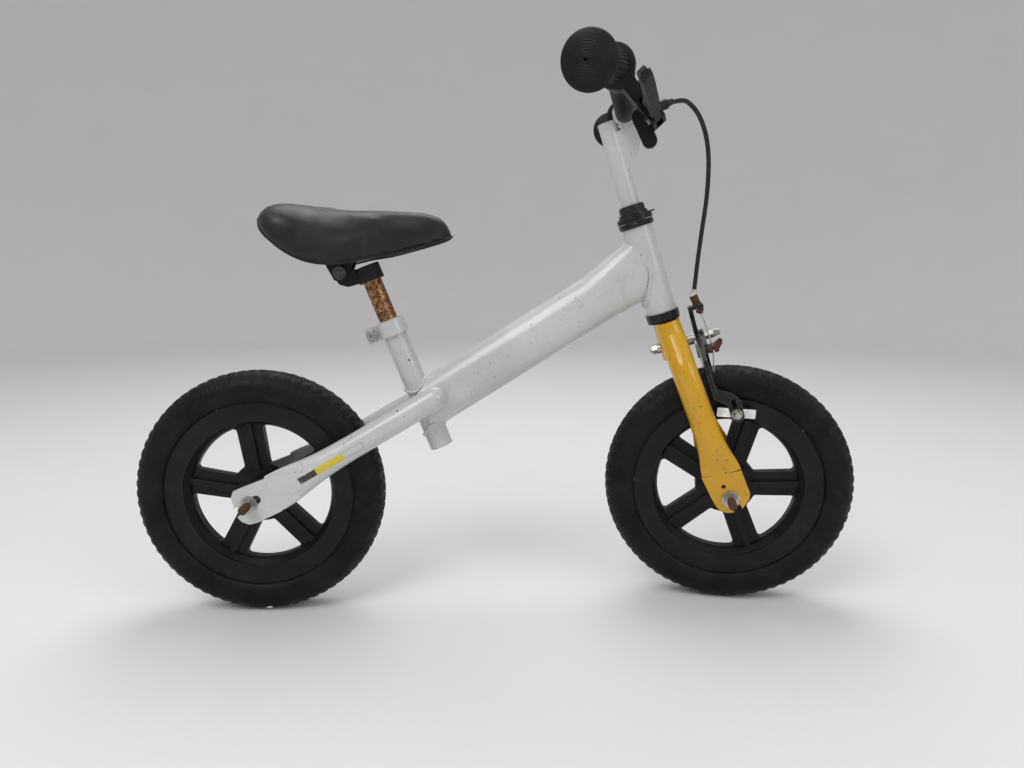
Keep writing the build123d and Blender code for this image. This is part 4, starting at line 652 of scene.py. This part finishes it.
class BIKE_OT_cable(bpy.types.Operator):
    """Hangs the brake cable from the lever's bracket to the caliper's adjuster, with its two ferrules"""

    bl_idname = "bike.cable"
    bl_label = "Brake cable"

    def execute(self, context):
        places = at(STEER, np.array(CABLE_ROUTE) * MM)
        line = bpy.data.curves.new("brake_cable", "CURVE")
        line.dimensions = "3D"
        spline = line.splines.new("NURBS")
        spline.points.add(len(places) - 1)
        for spot, place in zip(spline.points, places):
            spot.co = (*place, 1.0)
            spot.radius = SPOT_RADIUS
        spline.order_u = 3
        spline.use_endpoint_u = True
        spline.resolution_u = 12
        line.bevel_depth = CABLE_RADIUS / SPOT_RADIUS
        line.bevel_resolution = 5
        line.use_fill_caps = True
        cable = bpy.data.objects.new("brake_cable", line)
        context.scene.collection.objects.link(cable)
        dress(cable, "front_end", "black_rubber", self.jacket(), "cable_housing")
        steel = metal_finish("ferrule_steel", (0.72, 0.70, 0.66), 0.26, -0.02)
        dark = plastic_finish("ferrule_black", (0.02, 0.02, 0.02), 0.4, 400, 0.1)
        boot = [(2.55, 5.5), (3.4, 5.6), (3.7, 6.4), (3.7, 13.0), (3.1, 17.5), (2.55, 18)]
        cup = [(2.55, -1.0), (3.25, -0.8), (3.4, 0), (3.4, 7.5), (3.15, 8.6), (2.55, 8.7)]
        shapes = (("upper_ferrule", places[0], places[1], boot, dark),
                  ("lower_ferrule", places[-1], places[-2], cup, steel))
        for name, start, onward, outline, finish in shapes:
            ring = outline + [(2.52, outline[-1][1]), (2.52, outline[0][1])]
            piece = turned(name, basis(start, onward - start, STEER[1][1]), ring, 40, loop=True, sharp=0.6)
            dress(piece, "front_end", "zinc_steel", finish)
        return {"FINISHED"}

    @staticmethod
    def jacket():
        """Glossy black sleeve with faint grime."""
        f = Finish("cable_jacket", 0.24, coat=0.1, specular=0.3)
        tone = f.mix(f.between(f.noise(120, 5, 0.6), 0.45, 0.7), (0.006, 0.006, 0.006), (0.014, 0.0135, 0.013))
        f.bump(f.noise(300, 3), 0.08, 0.0003)
        return f.done(tone, f.between(f.noise(90, 4), 0.3, 0.7, 0.18, 0.34))


class BIKE_OT_brake(bpy.types.Operator):
    """Finishes the caliper, its pads, its bolts and its rusty adjuster"""

    bl_idname = "bike.brake"
    bl_label = "Caliper"

    def execute(self, context):
        arm = metal_finish("arm_black", (0.014, 0.014, 0.014), 0.34, 0.0, (0.30, 0.29, 0.27), metallic=0.15,
                           specular=0.3)
        bright = metal_finish("pad_holder_bright", (0.80, 0.80, 0.78), 0.18, -0.06)
        zinc = metal_finish("caliper_zinc", (0.46, 0.45, 0.41), 0.34, 0.06)
        rust = metal_finish("rusted_steel", (0.075, 0.034, 0.020), 0.5, 0.22, metallic=0.6)
        pad = plastic_finish("pad_rubber", (0.02, 0.02, 0.02), 0.7, 500, 0.25)
        for side in ("right", "left"):
            finish_node(f"{side}_caliper_arm", arm)
            finish_node(f"{side}_pad_holder", bright)
            finish_node(f"{side}_brake_pad", pad)
            finish_node(f"{side}_pad_nut", zinc)
        for name in ("caliper_bolt", "caliper_nuts", "caliper_spring", "brake_wire", "wire_end_cap"):
            finish_node(name, zinc)
        for name in ("barrel_adjuster", "wire_anchor"):
            finish_node(name, rust)
        return {"FINISHED"}


class BIKE_OT_saddle(bpy.types.Operator):
    """Inflates the saddle's cover, lays the welt at its edge, and finishes the post and clamps"""

    bl_idname = "bike.saddle"
    bl_label = "Saddle"

    def execute(self, context):
        sizes = context.scene.bike_sizes
        vinyl = vinyl_finish(tuple(context.scene.bike_colours.saddle))
        cover = self.cushion("saddle_cover", sizes.pad_swell)
        self.inflate(context, cover, sizes)
        dress(cover, "saddle", "saddle_vinyl", vinyl, "saddle_pad")
        plan, under = self.lines(300)
        spine = np.clip(plan[:, 0], 60, 226)
        ahead = spine + (plan[:, 0] - spine) * WELT_IN
        welt = np.stack([ahead, plan[:, 1] * WELT_IN, under - 0.4], axis=1) * MM
        edge = plastic_finish("welt_vinyl", (0.015, 0.015, 0.016), 0.5, 500, 0.15)
        dress(bead("saddle_welt", welt, 0.0013, 0), "saddle", "saddle_vinyl", edge)
        black = plastic_finish("saddle_plastic", (0.009, 0.009, 0.0095), 0.5, 380, 0.12, 0.2, 0.3)
        for name in ("saddle_base", "saddle_clamp"):
            finish_node(name, black)
        dark = metal_finish("clamp_bolt_dark", (0.10, 0.10, 0.10), 0.4, 0.03, (0.45, 0.45, 0.44))
        finish_node("saddle_clamp_bolt", dark)
        finish_node("seat_clamp_bolt", metal_finish("clamp_bolt_bright", (0.42, 0.42, 0.42), 0.25, 0.0))
        finish_node("seatpost", pitted_chrome())
        return {"FINISHED"}

    @staticmethod
    def lines(count):
        """The saddle's outline from above, with the height of its lower edge at each point, in mm."""
        half = np.array(SADDLE_PLAN, dtype=float)
        loop = np.vstack([half, half[-2:0:-1] * (1, -1)])
        dense = catmull(loop, 1200, closed=True)
        plan = even(np.vstack([dense, dense[:1]]), count + 1)[:-1]
        return plan, np.interp(plan[:, 0], *catmull(PAN_UNDER, 400).T)

    def cushion(self, name, allowance):
        """The cover before it swells: each outline point rises from the pan's edge out to its widest, two
        fifths of the way up, then moves in to the crown by cos^(2/n) as it climbs by sin^(2/n); below, it
        follows the pan."""
        plan, _ = self.lines(220)
        top, under = (catmull(line, 400) for line in (SADDLE_TOP, PAN_UNDER))
        spine = np.stack([np.clip(plan[:, 0], 60, 226), 0 * plan[:, 1]], axis=1)
        roll = np.linspace(0, math.pi / 2, 9)[:-1]
        step = np.linspace(0, math.pi / 2, 26)
        inward = np.concatenate([PAN_EDGE + (1 - PAN_EDGE) * np.sin(roll), np.cos(step) ** (2 / 2.6)])
        rise = np.concatenate([0.4 * (1 - np.cos(roll)), 0.4 + 0.6 * np.sin(step) ** (2 / 2.3)])
        out = spine[None] + (plan - spine)[None] * inward[:, None, None]
        low = np.interp(out[..., 0], *under.T) - 1.4
        high = np.interp(out[..., 0], *top.T) - allowance / MM * 0.45
        above = np.concatenate([out, (low + (high - low) * rise[:, None])[..., None]], axis=-1)
        share = np.linspace(0, PAN_EDGE, 9)[:-1]
        flat = spine[None] + (plan - spine)[None] * share[:, None, None]
        lip = 1.2 - 2.6 * (share[:, None] / PAN_EDGE) ** 6
        below = np.concatenate([flat, (np.interp(flat[..., 0], *under.T) + lip)[..., None]], axis=-1)
        return skin(name, np.concatenate([below, above]) * MM, caps=True)

    @staticmethod
    def inflate(context, cover, sizes):
        """Remeshes the cover evenly, swells it as cloth under pressure, limits how far each point has gone,
        and keeps the underside where it was."""
        context.view_layer.objects.active = cover
        remesh = cover.modifiers.new("even", "REMESH")
        remesh.mode = "VOXEL"
        remesh.voxel_size = sizes.voxel
        bpy.ops.object.modifier_apply(modifier=remesh.name)
        mesh = cover.data
        count = len(mesh.vertices)
        before = np.empty(count * 3)
        mesh.vertices.foreach_get("co", before)
        normals = np.empty(count * 3)
        mesh.vertices.foreach_get("normal", normals)
        hold = np.clip((normals.reshape(-1, 3)[:, 2] + 0.75) / 0.35, 0, 1)
        after = before.reshape(-1, 3)
        cloth = cover.modifiers.new("swell", "CLOTH")
        cloth.settings.use_pressure = True
        cloth.settings.uniform_pressure_force = 4.0
        cloth.settings.effector_weights.gravity = 0.0
        cloth.settings.quality = 5
        cloth.point_cache.frame_end = 20
        for number in range(1, 21):
            context.scene.frame_set(number)
        swollen = cover.evaluated_get(context.evaluated_depsgraph_get()).to_mesh()
        after = np.empty(count * 3)
        swollen.vertices.foreach_get("co", after)
        after = after.reshape(-1, 3)
        cover.modifiers.remove(cloth)
        context.scene.frame_set(1)
        before = before.reshape(-1, 3)
        move = after - before
        size = np.linalg.norm(move, axis=1)[:, None]
        move *= np.minimum(1, sizes.pad_swell / np.maximum(size, 1e-9)) * hold[:, None]
        mesh.vertices.foreach_set("co", (before + move).ravel())
        smooth = cover.modifiers.new("smooth", "SMOOTH")
        smooth.factor = 0.5
        smooth.iterations = 5
        bpy.ops.object.modifier_apply(modifier=smooth.name)
        round_off = cover.modifiers.new("round", "SUBSURF")
        round_off.levels = round_off.render_levels = 1
        mesh.polygons.foreach_set("use_smooth", np.ones(len(mesh.polygons), dtype=bool))


class BIKE_OT_stage(bpy.types.Operator):
    """Lays the pale floor, hangs the soft lights and sets the camera"""

    bl_idname = "bike.stage"
    bl_label = "Stage"

    def execute(self, context):
        scene = context.scene
        rise = np.linspace(0, math.radians(80), 40)
        reach = np.concatenate([[0.01, 1.5], 3.4 + 3.2 * np.sin(rise)])
        height = np.concatenate([[0, 0], 7.0 * (1 - np.cos(rise))]) - 0.1502
        round_about = np.linspace(0, 2 * math.pi, 96, endpoint=False)
        bowl = np.stack([np.outer(reach, np.cos(round_about)), np.outer(reach, np.sin(round_about)),
                         np.repeat(height[:, None], 96, axis=1)], axis=-1)
        ground = skin("floor", bowl)
        f = Finish("pale_floor", 0.75)
        colour = tuple(scene.bike_colours.floor)
        tone = f.mix(f.between(f.noise(3, 4), 0.3, 0.7), shade(colour, 0.985), colour)
        ground.data.materials.append(f.done(tone))
        world = bpy.data.worlds.new("soft_sky")
        scene.world = world
        world.use_nodes = True
        world.node_tree.nodes["Background"].inputs[0].default_value = (0.86, 0.87, 0.90, 1)
        world.node_tree.nodes["Background"].inputs[1].default_value = 0.62
        for name, place, size, watts in (("key", (-0.9, -1.7, 2.3), 1.5, 36),
                                         ("fill", (2.2, -1.6, 1.3), 1.4, 13),
                                         ("top", (0.35, 0.9, 2.2), 1.6, 21)):
            self.lamp(scene, name, place, size, watts)
        lens = bpy.data.cameras.new("camera")
        lens.sensor_width = 36.0
        lens.lens = 24.953
        camera = bpy.data.objects.new("camera", lens)
        turned_by = (Matrix.Rotation(math.radians(-1.80), 3, "Z")
                     @ Matrix.Rotation(math.radians(-9.08), 3, "X")
                     @ Matrix.Rotation(math.radians(0.53), 3, "Y"))
        right, ahead, up = (turned_by.col[k] for k in range(3))
        pose = Matrix((right, up, -ahead)).transposed().to_4x4()
        pose.translation = Vector((0.28161, -0.85651, 0.26534))
        camera.matrix_world = pose
        scene.collection.objects.link(camera)
        scene.camera = camera
        scene.view_settings.view_transform = "Standard"
        return {"FINISHED"}

    @staticmethod
    def lamp(scene, name, place, size, watts):
        """A square soft light that faces the bike's middle."""
        light = bpy.data.lights.new(name, "AREA")
        light.size = size
        light.energy = watts
        lamp = bpy.data.objects.new(name, light)
        lamp.location = place
        lamp.rotation_euler = (Vector((0.28, 0, 0.1)) - Vector(place)).to_track_quat("-Z", "Y").to_euler()
        scene.collection.objects.link(lamp)


OPERATORS = (BIKE_OT_frame, BIKE_OT_fork, BIKE_OT_wheels, BIKE_OT_cockpit, BIKE_OT_cable, BIKE_OT_brake,
             BIKE_OT_saddle, BIKE_OT_stage)


class BIKE_PT_panel(bpy.types.Panel):
    """The bike's operators and settings in the sidebar"""

    bl_idname = "BIKE_PT_panel"
    bl_label = "Balance Bike"
    bl_space_type = "VIEW_3D"
    bl_region_type = "UI"
    bl_category = "Balance Bike"

    def draw(self, context):
        for group in (context.scene.bike_sizes, context.scene.bike_colours):
            for name in group.bl_rna.properties.keys():
                if name not in ("rna_type", "name"):
                    self.layout.prop(group, name)
        for operator in OPERATORS:
            self.layout.operator(operator.bl_idname)


CLASSES = (BikeColours, BikeSizes, *OPERATORS, BIKE_PT_panel)


def register():
    for kind in CLASSES:
        bpy.utils.register_class(kind)
    bpy.types.Scene.bike_colours = bpy.props.PointerProperty(type=BikeColours)
    bpy.types.Scene.bike_sizes = bpy.props.PointerProperty(type=BikeSizes)


def unregister():
    del bpy.types.Scene.bike_sizes
    del bpy.types.Scene.bike_colours
    for kind in reversed(CLASSES):
        bpy.utils.unregister_class(kind)


def main():
    """Builds the whole bike, a group of pieces at a time."""
    register()
    for operator in OPERATORS:
        group, name = operator.bl_idname.split(".")
        getattr(getattr(bpy.ops, group), name)()


if __name__ == "__main__":
    main()
